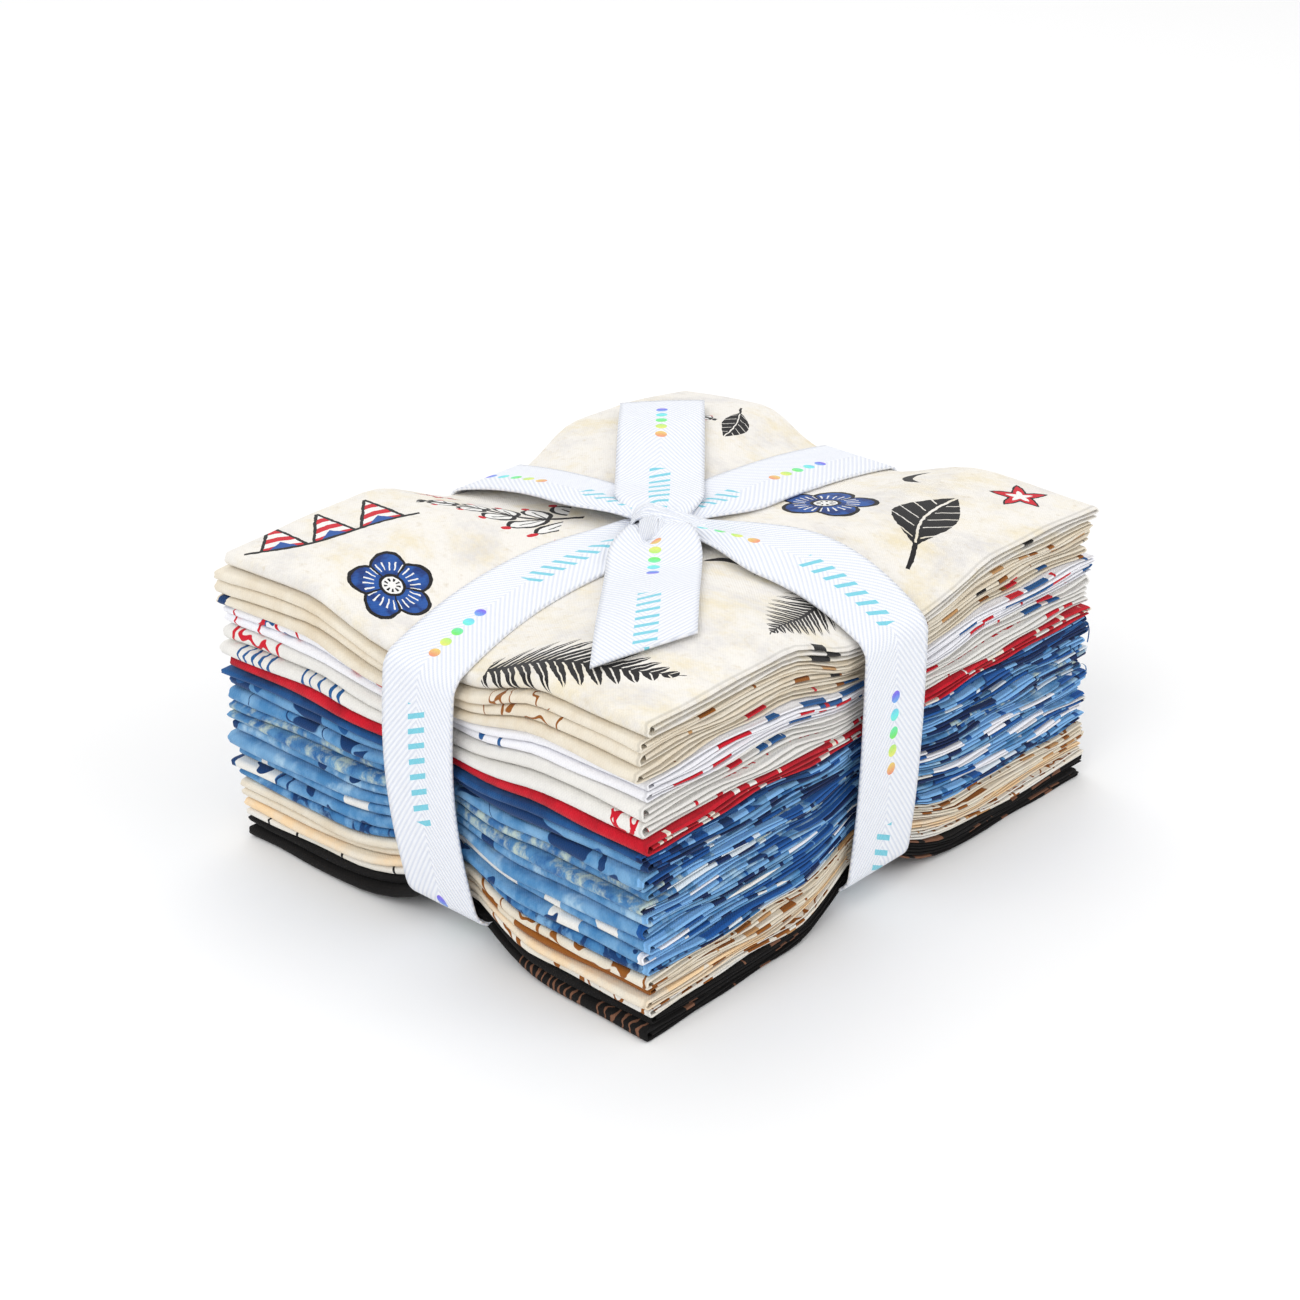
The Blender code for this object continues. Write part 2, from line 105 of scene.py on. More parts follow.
@dataclass
class TiedStack:
    """The form that the ribbon gives the stack; every layer is settled through it, in mm."""

    length: float = 559 / 3
    depth: float = 457 / 3
    laid_height: float = 79.78
    valley_height: float = 76.0
    valley_crown: float = 5.5
    crown_power: int = 3
    lift_at_middle: float = 4.5
    lift_at_side: float = 9.0
    edge_drop: float = 0.5
    crest_place: float = 0.5
    flat_half_width: float = 10.0
    valley_half_width: float = 43.0
    crush_power: float = 2.0
    lift_power: float = 1.6
    lift_flat: float = 9.0
    lift_fade: float = 15.0
    press_half_width: float = 36.0
    side_draw_in: float = 2.8
    draw_power: int = 6
    shift_full: float = 13.0
    shift_none: float = 64.0
    side_shift_power: int = 3
    knot_x: float = 3.0
    knot_y: float = 7.0
    lobes: tuple[Lobe, ...] = (
        Lobe(-1, -1, 86.0, 2.0),
        Lobe(1, -1, 83.8, 1.8),
        Lobe(-1, 1, 83.6, 4.9),
        Lobe(1, 1, 79.5, 7.5),
    )
    arms: tuple[Arm, ...] = (
        Arm(Axis.LONG, -1, 16.0, 24.0, 0.0, -0.5, 5.2, -7.0, 0.7, 2.2),
        Arm(Axis.LONG, 1, 13.0, 30.0, 0.4, 7.0, 0.0, 2.0, 0.9),
        Arm(Axis.SHORT, -1, 11.0, 30.0, 0.3, 1.5, 6.6, -3.0, 0.9, 0.0, 3.4),
        Arm(Axis.SHORT, 1, 12.0, 30.0, 0.3, 4.0, 0.0, 0.0, 0.9, 0.0, -3.0),
    )

    def half_side(self, axis: Axis) -> float:
        """Half of the stack's length along an axis."""
        return self.length / 2 if axis is Axis.LONG else self.depth / 2

    def arm(self, axis: Axis, side: int) -> Arm:
        """The arm of the ribbon on one side."""
        return next(arm for arm in self.arms if (arm.axis, arm.side) == (axis, side))

    def droop(self, place: np.ndarray) -> np.ndarray:
        """How far a lobe has dropped from the middle (0) to the side (1) of the stack."""
        beyond = np.clip((place - self.crest_place) / (1 - self.crest_place), 0.0, 1.0)
        return self.edge_drop * beyond**2

    def valley(self, x: np.ndarray, y: np.ndarray) -> np.ndarray:
        """Height of the valleys under the ribbon: pulled down at the sides, highest under the knot."""
        far_x = np.minimum(np.abs(x) * 2 / self.length, 1.0) ** self.crown_power
        far_y = np.minimum(np.abs(y) * 2 / self.depth, 1.0) ** self.crown_power
        return self.valley_height + self.valley_crown * (1 - far_x) * (1 - far_y)

    def valley_along(self, axis: Axis, along: float) -> float:
        """Height of the valley under one turn of the ribbon."""
        x, y = (along, 0.0) if axis is Axis.LONG else (0.0, along)
        return float(self.valley(np.array(x), np.array(y)))

    def top_height(self, x: np.ndarray, y: np.ndarray) -> np.ndarray:
        """Height of the tied stack's top."""
        valley = self.valley(x, y)
        corner = np.zeros(np.broadcast(x, y).shape)
        crest = corner.copy()
        for lobe in self.lobes:
            here = ((x > 0) == (lobe.side_x > 0)) & ((y > 0) == (lobe.side_y > 0))
            corner = np.where(here, lobe.corner - valley, corner)
            crest = np.where(here, lobe.crest, crest)
        drop = self.droop(np.abs(x) * 2 / self.length) + self.droop(np.abs(y) * 2 / self.depth)
        open_x = smooth_step(np.abs(x), self.flat_half_width, self.valley_half_width)
        open_y = smooth_step(np.abs(y), self.flat_half_width, self.valley_half_width)
        return valley + (corner + crest * (1 - drop)) * open_x * open_y

    def lift(self, along: np.ndarray, across: np.ndarray, half_side: float) -> np.ndarray:
        """Height to which one strip of ribbon lifts the underside."""
        height = self.lift_at_middle + (self.lift_at_side - self.lift_at_middle) * (along / half_side) ** 2
        beyond = np.maximum(np.abs(across) - self.lift_flat, 0.0)
        return height * np.exp(-(beyond**1.15) / self.lift_fade)

    def bottom_height(self, x: np.ndarray, y: np.ndarray) -> np.ndarray:
        """Height of the tied stack's underside: zero under the four lobes."""
        return np.maximum(self.lift(x, y, self.length / 2), self.lift(y, x, self.depth / 2))

    def draw_in(self, along: np.ndarray, across: np.ndarray, half_side: float) -> np.ndarray:
        """Move a place near a side inward where the ribbon presses it."""
        press = 1 - smooth_step(np.abs(across), self.flat_half_width, self.press_half_width)
        inward = self.side_draw_in * press * np.abs(along / half_side) ** self.draw_power
        return along - np.sign(along) * inward

    def ribbon_line(self, axis: Axis, along: np.ndarray, share: np.ndarray) -> np.ndarray:
        """How far aside the ribbon's middle line lies, from the underside (share 0) to the top (1)."""
        at_knot = self.knot_y if axis is Axis.LONG else self.knot_x
        part = np.minimum(np.abs(along) / self.half_side(axis), 1.0)
        line = np.zeros(np.broadcast(along, share).shape)
        for side in (-1, 1):
            arm = self.arm(axis, side)
            above = at_knot + (arm.top_shift - at_knot) * part + arm.bow * np.sin(np.pi * part)
            below = (1 - share) ** self.side_shift_power
            bowed = arm.side_bow * np.sin(np.pi * share) * part**2
            run = above + (arm.foot_shift * part - above) * below + bowed
            line = np.where((along >= 0) == (side > 0), run, line)
        return line

    def shift_aside(self, x: np.ndarray, y: np.ndarray, share: np.ndarray) -> tuple[np.ndarray, np.ndarray]:
        """Move places aside with the ribbon lines near them."""
        near_x = 1 - smooth_step(np.abs(x), self.shift_full, self.shift_none)
        near_y = 1 - smooth_step(np.abs(y), self.shift_full, self.shift_none)
        moved_x = x + self.ribbon_line(Axis.SHORT, y, share) * near_x
        return moved_x, y + self.ribbon_line(Axis.LONG, x, share) * near_y

    def settle(self, x: np.ndarray, y: np.ndarray, level: np.ndarray) -> np.ndarray:
        """Move points of the loose, square stack to their places in the tied one.

        Args:
            x: places along the length.
            y: places along the depth.
            level: heights in the loose stack.

        Returns:
            The points in the tied stack, one row each.
        """
        share = np.clip(level / self.laid_height, 0.0, 1.0)
        lifted = self.bottom_height(x, y) * (1 - share) ** self.lift_power
        z = level + lifted + (self.top_height(x, y) - self.laid_height) * share**self.crush_power
        drawn_x = self.draw_in(x, y, self.length / 2)
        drawn_y = self.draw_in(y, x, self.depth / 2)
        moved_x, moved_y = self.shift_aside(drawn_x, drawn_y, share)
        return np.stack([moved_x, moved_y, z], axis=-1)

    def cloth_height_at(self, x: np.ndarray, y: np.ndarray) -> np.ndarray:
        """Height of the top cotton at places that are given in the tied stack."""
        loose_x, loose_y = x, y
        one = np.ones(np.broadcast(x, y).shape)
        for _ in range(4):
            moved_x, moved_y = self.shift_aside(loose_x, loose_y, one)
            loose_x = loose_x + x - moved_x
            loose_y = loose_y + y - moved_y
        return self.top_height(loose_x, loose_y)


def grid_mesh(name: str, points: np.ndarray, across: np.ndarray, along: np.ndarray) -> bpy.types.Mesh:
    """Make a sheet from a grid of points.

    Args:
        name: the mesh's name.
        points: rows by columns by three, in mm.
        across: the cloth coordinate of each column point, in mm.
        along: the cloth coordinate of each row point, in mm.

    Returns:
        The mesh, in metres, with the cloth coordinates in its UV map, in metres.
    """
    rows, columns = points.shape[:2]
    index = np.arange(rows * columns).reshape(rows, columns)
    corners = [index[:-1, :-1], index[:-1, 1:], index[1:, 1:], index[1:, :-1]]
    quads = np.stack(corners, axis=-1).reshape(-1, 4)
    mesh = bpy.data.meshes.new(name)
    mesh.from_pydata((points.reshape(-1, 3) * MM).tolist(), [], quads.tolist())
    cloth = mesh.uv_layers.new(name="cloth")
    places = np.stack([across.ravel(), along.ravel()], axis=-1)[quads.ravel()] * MM
    cloth.uv.foreach_set("vector", places.astype(np.float32).ravel())
    mesh.shade_smooth()
    return mesh


def join_meshes(name: str, meshes: list[bpy.types.Mesh]) -> bpy.types.Mesh:
    """Put several meshes with cloth coordinates into one."""
    points, faces, places, start = [], [], [], 0
    for mesh in meshes:
        count = len(mesh.vertices)
        own = np.zeros(count * 3, np.float32)
        mesh.vertices.foreach_get("co", own)
        points.append(own.reshape(-1, 3))
        faces += [[start + i for i in face.vertices] for face in mesh.polygons]
        at = np.zeros(len(mesh.loops) * 2, np.float32)
        mesh.uv_layers["cloth"].uv.foreach_get("vector", at)
        places.append(at)
        start += count
        bpy.data.meshes.remove(mesh)
    joined = bpy.data.meshes.new(name)
    joined.from_pydata(np.concatenate(points).tolist(), [], faces)
    joined.uv_layers.new(name="cloth").uv.foreach_set("vector", np.concatenate(places))
    joined.shade_smooth()
    return joined


def add_piece(name: str, mesh: bpy.types.Mesh, material: bpy.types.Material) -> bpy.types.Object:
    """Link a mesh as an object with one material."""
    mesh.materials.append(material)
    piece = bpy.data.objects.new(name, mesh)
    bpy.context.scene.collection.objects.link(piece)
    return piece


@dataclass
class FoldLine:
    """One fold in thirds, seen edge on, in mm.

    The sheet starts at its loose edge on the +side, goes low to the -side, turns round in a
    big fold, comes back on top, turns in a small fold and ends tucked in between.
    """

    left: float
    right: float
    pitch: float
    fill: float
    loose: float
    tucked: float
    stations: np.ndarray
    big_steps: int
    small_steps: int

    def points(self) -> tuple[np.ndarray, np.ndarray, np.ndarray]:
        """The sheet's middle line.

        Returns:
            The places along and above the lowest panel, the directions square to the
            sheet, and the running length, which is 0 in the middle of the top panel.
        """
        inside = self.stations
        places, normals = [], []
        for x in [self.right - self.loose, *inside[::-1]]:
            places.append((x, 0.0))
            normals.append((0.0, -1.0))
        for angle in np.linspace(1.5 * np.pi, 0.5 * np.pi, self.big_steps):
            out = self.left + self.fill / 2 + self.pitch * (1 + math.cos(angle))
            places.append((out, self.pitch * (1 + math.sin(angle))))
            normals.append((math.cos(angle), math.sin(angle)))
        for x in inside:
            places.append((x, 2 * self.pitch))
            normals.append((0.0, 1.0))
        turn = self.pitch / 2
        end = self.right - self.fill / 2 - turn
        for angle in np.linspace(0.5 * np.pi, -0.5 * np.pi, self.small_steps):
            places.append((end + turn * math.cos(angle), 1.5 * self.pitch + turn * math.sin(angle)))
            normals.append((math.cos(angle), math.sin(angle)))
        for x in [*inside[::-1], self.left + self.tucked]:
            places.append((x, self.pitch))
            normals.append((0.0, -1.0))
        line = np.array(places)
        square = np.array(normals)
        length = np.concatenate([[0.0], np.cumsum(np.hypot(*np.diff(line, axis=0).T))])
        top = slice(len(inside) + 1 + self.big_steps, 2 * len(inside) + 1 + self.big_steps)
        middle = np.interp(0.0, line[top, 0], length[top])
        return line, square, length - middle


class Signal:
    """A number that varies over a surface, and the maths that can be done on it."""

    def __init__(self, dye: "DyeBath", socket: bpy.types.NodeSocket) -> None:
        """Keep the socket that gives the number."""
        self.dye = dye
        self.socket = socket

    def __add__(self, other: "Number") -> "Signal":
        """Sum."""
        return self.dye.math("ADD", self, other)

    __radd__ = __add__

    def __sub__(self, other: "Number") -> "Signal":
        """Difference."""
        return self.dye.math("SUBTRACT", self, other)

    def __rsub__(self, other: "Number") -> "Signal":
        """Difference from a number."""
        return self.dye.math("SUBTRACT", other, self)

    def __mul__(self, other: "Number") -> "Signal":
        """Product; of two masks, where both are."""
        return self.dye.math("MULTIPLY", self, other)

    __rmul__ = __mul__

    def __truediv__(self, other: "Number") -> "Signal":
        """Quotient."""
        return self.dye.math("DIVIDE", self, other)

    def __rtruediv__(self, other: "Number") -> "Signal":
        """A number divided by this."""
        return self.dye.math("DIVIDE", other, self)

    def __mod__(self, other: "Number") -> "Signal":
        """Remainder, never negative."""
        return self.dye.math("FLOORED_MODULO", self, other)

    def __pow__(self, other: "Number") -> "Signal":
        """Power."""
        return self.dye.math("POWER", self, other)

    def __gt__(self, other: "Number") -> "Signal":
        """Mask: 1 where this is greater."""
        return self.dye.math("GREATER_THAN", self, other)

    def __lt__(self, other: "Number") -> "Signal":
        """Mask: 1 where this is less."""
        return self.dye.math("LESS_THAN", self, other)

    def __abs__(self) -> "Signal":
        """Size without sign."""
        return self.dye.math("ABSOLUTE", self)

    def __or__(self, other: "Signal") -> "Signal":
        """Mask: where either is."""
        return self.dye.math("MAXIMUM", self, other)

    def sin(self) -> "Signal":
        """Sine."""
        return self.dye.math("SINE", self)

    def root(self) -> "Signal":
        """Square root."""
        return self.dye.math("SQRT", self)

    def ramp(self, low: float, high: float) -> "Signal":
        """Go smoothly from 0 at low to 1 at high."""
        return self.dye.node("ShaderNodeMapRange", {"interpolation_type": "SMOOTHSTEP"},
                             {0: self, 1: low, 2: high, 3: 0.0, 4: 1.0})


Number = Signal | float
Colour = tuple[float, float, float]


def paint(red: int, green: int, blue: int) -> Colour:
    """A colour as it looks, from 0 to 255, as the light that it sends back."""
    def light(value: int) -> float:
        part = value / 255
        return part / 12.92 if part <= 0.04045 else ((part + 0.055) / 1.055) ** 2.4
    return light(red), light(green), light(blue)


class DyeBath:
    """Builds the nodes of one finish."""

    def __init__(self, name: str, roughness: float, sheen: float) -> None:
        """Start a material with a matt cloth shader."""
        self.material = bpy.data.materials.new(name)
        self.material.use_nodes = True
        self.tree = self.material.node_tree
        self.shader = self.tree.nodes["Principled BSDF"]
        self.shader.inputs["Roughness"].default_value = roughness
        self.shader.inputs["Specular IOR Level"].default_value = 0.25
        self.shader.inputs["Sheen Weight"].default_value = sheen
        self.shader.inputs["Sheen Roughness"].default_value = 0.5
        spread = self.node("ShaderNodeUVMap", {"uv_map": "cloth"}, {})
        apart = self.node("ShaderNodeSeparateXYZ", {}, {0: spread})
        self.across = apart * (1 / MM)
        self.along = Signal(self, apart.socket.node.outputs[1]) * (1 / MM)

    def node(self, kind: str, settings: dict[str, object], values: dict[int | str, object],
             output: int | str = 0) -> Signal:
        """Add a node.

        Args:
            kind: the node's type.
            settings: its own settings, which are set first.
            values: numbers, colours or signals for its inputs, by place or name.
            output: which output to give back.

        Returns:
            The output.
        """
        made = self.tree.nodes.new(kind)
        for name, value in settings.items():
            setattr(made, name, value)
        for place, value in values.items():
            if isinstance(value, Signal):
                self.tree.links.new(value.socket, made.inputs[place])
            else:
                made.inputs[place].default_value = value
        return Signal(self, made.outputs[output])

    def math(self, operation: str, first: Number, second: Number = 0.0) -> Signal:
        """One step of maths on numbers."""
        return self.node("ShaderNodeMath", {"operation": operation}, {0: first, 1: second})

    def angle(self, x: Signal, y: Signal) -> Signal:
        """The direction of a place from the middle."""
        return self.math("ARCTAN2", y, x)

    def place(self, x: Number, y: Number, z: Number = 0.0) -> Signal:
        """A vector from three numbers."""
        return self.node("ShaderNodeCombineXYZ", {}, {0: x, 1: y, 2: z})

    def noise(self, size: float, seed: float, detail: float = 2.0, stretch: float = 1.0,
              roughness: float = 0.5) -> Signal:
        """Soft cloudy values round 0.5, with clouds of a size in mm, longer along the cloth by stretch."""
        where = self.place(self.across * (1 / size), self.along * (1 / (size * stretch)), seed)
        return self.node("ShaderNodeTexNoise", {}, {"Vector": where, "Scale": 1.0, "Detail": detail,
                                                    "Roughness": roughness})

    def lots(self, across: float, along: float, seed: float) -> Signal:
        """A lot from 0 to 1 for each of many patches, of a length in mm each way."""
        where = self.place(self.across * (1 / across) + seed, self.along * (1 / along), 0.0)
        drawn = self.node("ShaderNodeTexVoronoi", {"voronoi_dimensions": "2D"},
                          {"Vector": where, "Scale": 1.0}, "Color")
        return self.node("ShaderNodeSeparateXYZ", {}, {0: drawn})

    def mix(self, mask: Number, below: Signal | Colour, above: Signal | Colour) -> Signal:
        """Lay one colour over another where the mask is 1."""
        under = below if isinstance(below, Signal) else (*below, 1.0)
        over = above if isinstance(above, Signal) else (*above, 1.0)
        return self.node("ShaderNodeMix", {"data_type": "RGBA"}, {0: mask, 6: under, 7: over}, 2)

    def shade(self, colour: Signal, amount: Signal) -> Signal:
        """Darken or lighten a colour by a number."""
        return self.node("ShaderNodeVectorMath", {"operation": "SCALE"}, {0: colour, "Scale": amount})

    def finish(self, colour: Signal, height: Signal, depth: float) -> bpy.types.Material:
        """Connect the colour and a bump of a depth in mm."""
        self.tree.links.new(colour.socket, self.shader.inputs["Base Color"])
        bump = self.node("ShaderNodeBump", {}, {"Strength": 1.0, "Distance": depth * MM, "Height": height})
        self.tree.links.new(bump.socket, self.shader.inputs["Normal"])
        return self.material


# The front edge, where the folded width turns: its place in the cloth and how far the dashes reach
FRONT_EDGE = -76.35
FRONT_REACH = 1.9


class Mark(Enum):
    """The kinds of mark that the prints are made of."""

    PATCH = "patch"
    WASH = "wash"
    LINE = "line"
    STRIPE = "stripe"
    BAR = "bar"


@dataclass(frozen=True)
class Motif:
    """One layer of marks in a print: kind, colour, size in mm, how much it takes, and its seed.

    A window keeps it to a stretch of the folded depth, as its middle and half length in mm.
    """

    mark: Mark
    colour: Colour
    size: float
    amount: float
    seed: float = 0.0
    window: tuple[float, float] | None = None
    crisp: float = 0.008
    line_edge: float = 1.3

    def mask(self, dye: DyeBath) -> Signal:
        """Where the marks are."""
        cloud = dye.noise(self.size, self.seed, 1.0)
        if self.mark is Mark.PATCH:
            found = cloud.ramp(1 - self.amount, 1 - self.amount + self.crisp)
        elif self.mark is Mark.WASH:
            wash = dye.noise(self.size, self.seed, 4.0, roughness=0.65)
            found = wash.ramp(0.9 - self.amount, 1.1 - self.amount)
        elif self.mark is Mark.LINE:
            found = 1 - abs(cloud - 0.5).ramp(self.amount, self.amount * self.line_edge)
        elif self.mark is Mark.BAR:
            found = dye.lots(60.0, self.size, self.seed) < self.amount
        else:
            found = ((dye.along + cloud * self.size) / self.size % 1.0) < self.amount
        if self.window:
            middle, half = self.window
            found = found * (abs(dye.along - middle) < half)
        return found


@dataclass(frozen=True)
class Print:
    """A printed quilting cotton: a mottled ground, layers of motifs and the weave.

    Its dashes are what shows of the print on the front edge, where the folded width turns:
    the colour of each kind, its length in mm and its share, fewer at the near end where bare is set.
    """

    name: str
    ground: Colour
    mottle: Colour
    motifs: tuple[Motif, ...] = ()
    dashes: tuple[tuple[Colour, float, float], ...] = ()
    mottle_size: float = 16.0
    thread: float = 0.42
    roughness: float = 0.85
    sheen: float = 0.12
    bare: float = 0.0
    # painted shade: how much the crevices between the layers beside the front edge are darkened
    crevice_shade: float = 0.22

    def colours(self, dye: DyeBath) -> Signal:
        """The ground with its motifs."""
        cloud = dye.noise(self.mottle_size, len(self.name), 4.0, roughness=0.6).ramp(0.35, 0.68)
        colour = dye.mix(cloud, self.ground, self.mottle)
        for motif in self.motifs:
            colour = dye.mix(motif.mask(dye), colour, motif.colour)
        return self.dashed(dye, colour)

    def dashed(self, dye: DyeBath, colour: Signal) -> Signal:
        """The print's dashes along the front edge, over a colour, and painted shade in the crevices between
        the layers beside that edge.
        """
        beyond = abs(dye.along - FRONT_EDGE)
        edge = beyond < FRONT_REACH
        often = dye.across.ramp(-40.0, 70.0) * self.bare + (1 - self.bare)
        for place, (paint_of, length, share) in enumerate(self.dashes):
            lot = dye.lots(length, 40.0, 7.3 * place + sum(map(ord, self.name)) % 89)
            colour = dye.mix((lot < often * share) * edge, colour, paint_of)
        # painted shade in the crevices: darkest 0.5 to 0.7 mm off the front edge, fading out by 0.2 and 1.6
        # mm
        return dye.shade(colour, 1 - (beyond.ramp(0.2, 0.5) - beyond.ramp(0.7, 1.6)) * self.crevice_shade)

    def material(self) -> bpy.types.Material:
        """The finish's nodes."""
        dye = DyeBath(self.name, self.roughness, self.sheen)
        turn = math.pi / self.thread
        weave = (dye.across * turn).sin() * (dye.along * turn).sin()
        slub = dye.noise(1.1, 3.0, 2.0)
        # painted shade: the colour is up to 3% darker in the weave's dips, with the same pattern as the
        # bump; the slub's tone varies at random
        colour = dye.shade(self.colours(dye), 0.97 + weave * 0.03 + (slub - 0.5) * 0.10)
        return dye.finish(colour, weave + slub * 1.2, 0.035)


@dataclass(frozen=True)
class Figure:
    """A drawn figure of the top print: its foot, the way it points and its size, in mm and degrees."""

    x: float
    y: float
    turn: float
    size: float

    def local(self, dye: DyeBath) -> tuple[Signal, Signal]:
        """Places measured from the figure's foot: aside and along it."""
        cosine, sine = math.cos(math.radians(self.turn)), math.sin(math.radians(self.turn))
        x, y = dye.across - self.x, dye.along - self.y
        return y * cosine - x * sine, x * cosine + y * sine

    def draw(self, dye: DyeBath, colour: Signal) -> Signal:
        """Print the figure over a colour."""
        raise NotImplementedError


class Fern(Figure):
    """A bent fern of black leaflets with bare veins."""

    def draw(self, dye: DyeBath, colour: Signal) -> Signal:
        """Print the figure over a colour."""
        aside, along = self.local(dye)
        up = along / self.size
        side = abs(aside - up * up * (0.22 * self.size))
        out = side / (((up * 0.88 + 0.12) * math.pi).sin() * (0.27 * self.size) + 0.01)
        row = abs((along - side * 0.75) / (0.088 * self.size) % 1.0 - 0.5)
        leaflet = (row < (1 - out * out) * 0.44) * (out < 1.0) * (row > 0.05)
        stem = side < (1.25 - up) * (0.014 * self.size)
        return dye.mix((leaflet | stem) * (up > 0.0) * (up < 1.0), colour, INK)


class Sprig(Figure):
    """A sprig of outlined white leaves with red berries at their tips."""

    def draw(self, dye: DyeBath, colour: Signal) -> Signal:
        """Print the figure over a colour."""
        aside, along = self.local(dye)
        up = along / self.size
        side = abs(aside - (up * 5.0).sin() * (0.04 * self.size))
        pitch = 0.23 * self.size
        out = side / ((1.15 - up) * (0.26 * self.size) + 0.01)
        row = (along - side * 0.9) / pitch % 1.0 - 0.5
        half = out * (1.02 - out) * 1.5
        leaf = (up > 0.0) * (up < 1.0) * (out < 1.0)
        inside = (abs(row) < half) * leaf
        edge = (abs(abs(row) - half) < 0.075) * leaf
        vein = (abs(row) < 0.035) * leaf * (out < 0.7)
        tip = out - 1.12
        berry = (tip * tip + row * row * 0.9 < 0.018) * (up > 0.0) * (up < 1.0)
        stem = (side < 0.018 * self.size) * (up > -0.12) * (up < 1.0)
        colour = dye.mix(inside, colour, PRINT_WHITE)
        colour = dye.mix(edge | vein | stem, colour, INK)
        return dye.mix(berry, colour, PRINT_RED)


class Leaf(Figure):
    """A black leaf with bare veins and a stalk."""

    def draw(self, dye: DyeBath, colour: Signal) -> Signal:
        """Print the figure over a colour."""
        aside, along = self.local(dye)
        up = along / self.size
        side = abs(aside - (up * 3.0).sin() * (0.08 * self.size))
        out = side / (0.23 * self.size)
        blade = (out < (up * math.pi).sin()) * (up > 0.0) * (up < 1.0)
        row = abs((along - side * 0.9) / (0.17 * self.size) % 1.0 - 0.5)
        vein = (out < 0.045) | (row < 0.045) * (out > 0.15)
        stalk = (out < 0.09) * (up > -0.25) * (up < 0.05)
        return dye.mix(blade * (1 - vein) | stalk, colour, INK)


class Blossom(Figure):
    """A five-petalled blue blossom with a black outline; its size is its radius."""

    def draw(self, dye: DyeBath, colour: Signal) -> Signal:
        """Print the figure over a colour."""
        aside, along = self.local(dye)
        far = (aside * aside + along * along).root() / self.size
        way = dye.angle(along, aside)
        petal = abs((way * 2.5).sin())
        rim = petal * 0.3 + 0.7
        shade = dye.noise(5.0, 2.0, 2.0).ramp(0.42, 0.6)
        colour = dye.mix(far < rim, colour, dye.mix(shade, PRINT_BLUE, PRINT_NAVY))
        streak = ((way * 25.0).sin() > 0.7) * (far > 0.42) * (far < 0.68)
        colour = dye.mix(streak | (far < 0.26), colour, PRINT_WHITE)
        between = (petal < 0.13) * (far > 0.3) * (far < rim)
        lines = (abs(far - rim) < 0.05) | between | (abs(far - 0.28) < 0.035)
        seeds = ((way * 9.0).sin() > 0.2) * (abs(far - 0.15) < 0.05)
        return dye.mix(lines | seeds, colour, INK)


class Star(Figure):
    """A red star with a white one inside and a black outline; its size is its radius."""

    def draw(self, dye: DyeBath, colour: Signal) -> Signal:
        """Print the figure over a colour."""
        aside, along = self.local(dye)
        far = (aside * aside + along * along).root() / self.size
        point = abs(dye.angle(along, aside) * (2.5 / math.pi) % 1.0 - 0.5) * 2.0
        rim = point ** 1.5 * 0.6 + 0.4
        colour = dye.mix(far < rim, colour, PRINT_RED)
        colour = dye.mix(far < rim * 0.5, colour, PRINT_WHITE)
        return dye.mix(abs(far - rim) < 0.06, colour, INK)


class Pennants(Figure):
    """A cord hung with striped pennants; its size is the space that each takes."""

    def draw(self, dye: DyeBath, colour: Signal) -> Signal:
        """Print the figure over a colour."""
        aside, along = self.local(dye)
        place = along / self.size
        down = (aside + (place * 1.6).sin() * (0.16 * self.size)) / (1.35 * self.size)
        cell = abs(place % 1.0 - 0.5)
        half = (1 - down) * 0.44
        strung = (place > 0.0) * (place < 3.0)
        flag = (down > 0.0) * (cell < half) * strung
        stripe = ((down * 3.2 + cell * 0.5) % 1.0) < 0.5
        colour = dye.mix(flag, colour, PRINT_WHITE)
        colour = dye.mix(flag * stripe, colour, PRINT_RED)
        colour = dye.mix(flag * ((down + cell * 0.9) < 0.27), colour, PRINT_BLUE)
        edge = (abs(cell - half) < 0.035) * (down > 0.0) * (down < 1.0) * strung
        cord = (abs(down) < 0.035) * (place > -0.25) * (place < 3.25)
        return dye.mix(edge | cord, colour, INK)


class Crescent(Figure):
    """A plain black crescent; its size is its length."""

    def draw(self, dye: DyeBath, colour: Signal) -> Signal:
        """Print the figure over a colour."""
        aside, along = self.local(dye)
        radius = 0.5 * self.size
        inner = aside - 0.35 * self.size
        disc = (aside * aside + along * along) < radius * radius
        bite = (inner * inner + along * along) > (0.62 * self.size) ** 2
        return dye.mix(disc * bite, colour, INK)


@dataclass(frozen=True)
class FigurePrint(Print):
    """The top print: sparse drawn figures on a marbled cream ground."""

    figures: tuple[Figure, ...] = ()
    straw: Colour = paint(232, 219, 186)
    haze: Colour = paint(216, 213, 212)
    wobble: float = 0.9

    def colours(self, dye: DyeBath) -> Signal:
        """The marbled ground with its figures, whose lines wobble a little."""
        colour = dye.mix(dye.noise(20.0, 2.0, 6.0, 1.5, 0.72).ramp(0.44, 0.74), self.ground, self.straw)
        colour = dye.mix(dye.noise(17.0, 8.0, 6.0, 1.5, 0.72).ramp(0.44, 0.76), colour, self.haze)
        colour = dye.mix(dye.noise(2.6, 5.0, 3.0, 1.6, 0.7).ramp(0.52, 0.9), colour, self.mottle)
        steady = dye.across, dye.along
        dye.across = dye.across + (dye.noise(2.6, 11.0) - 0.5) * self.wobble
        dye.along = dye.along + (dye.noise(2.6, 13.0) - 0.5) * self.wobble
        for figure in self.figures:
            colour = figure.draw(dye, colour)
        dye.across, dye.along = steady
        return self.dashed(dye, colour)


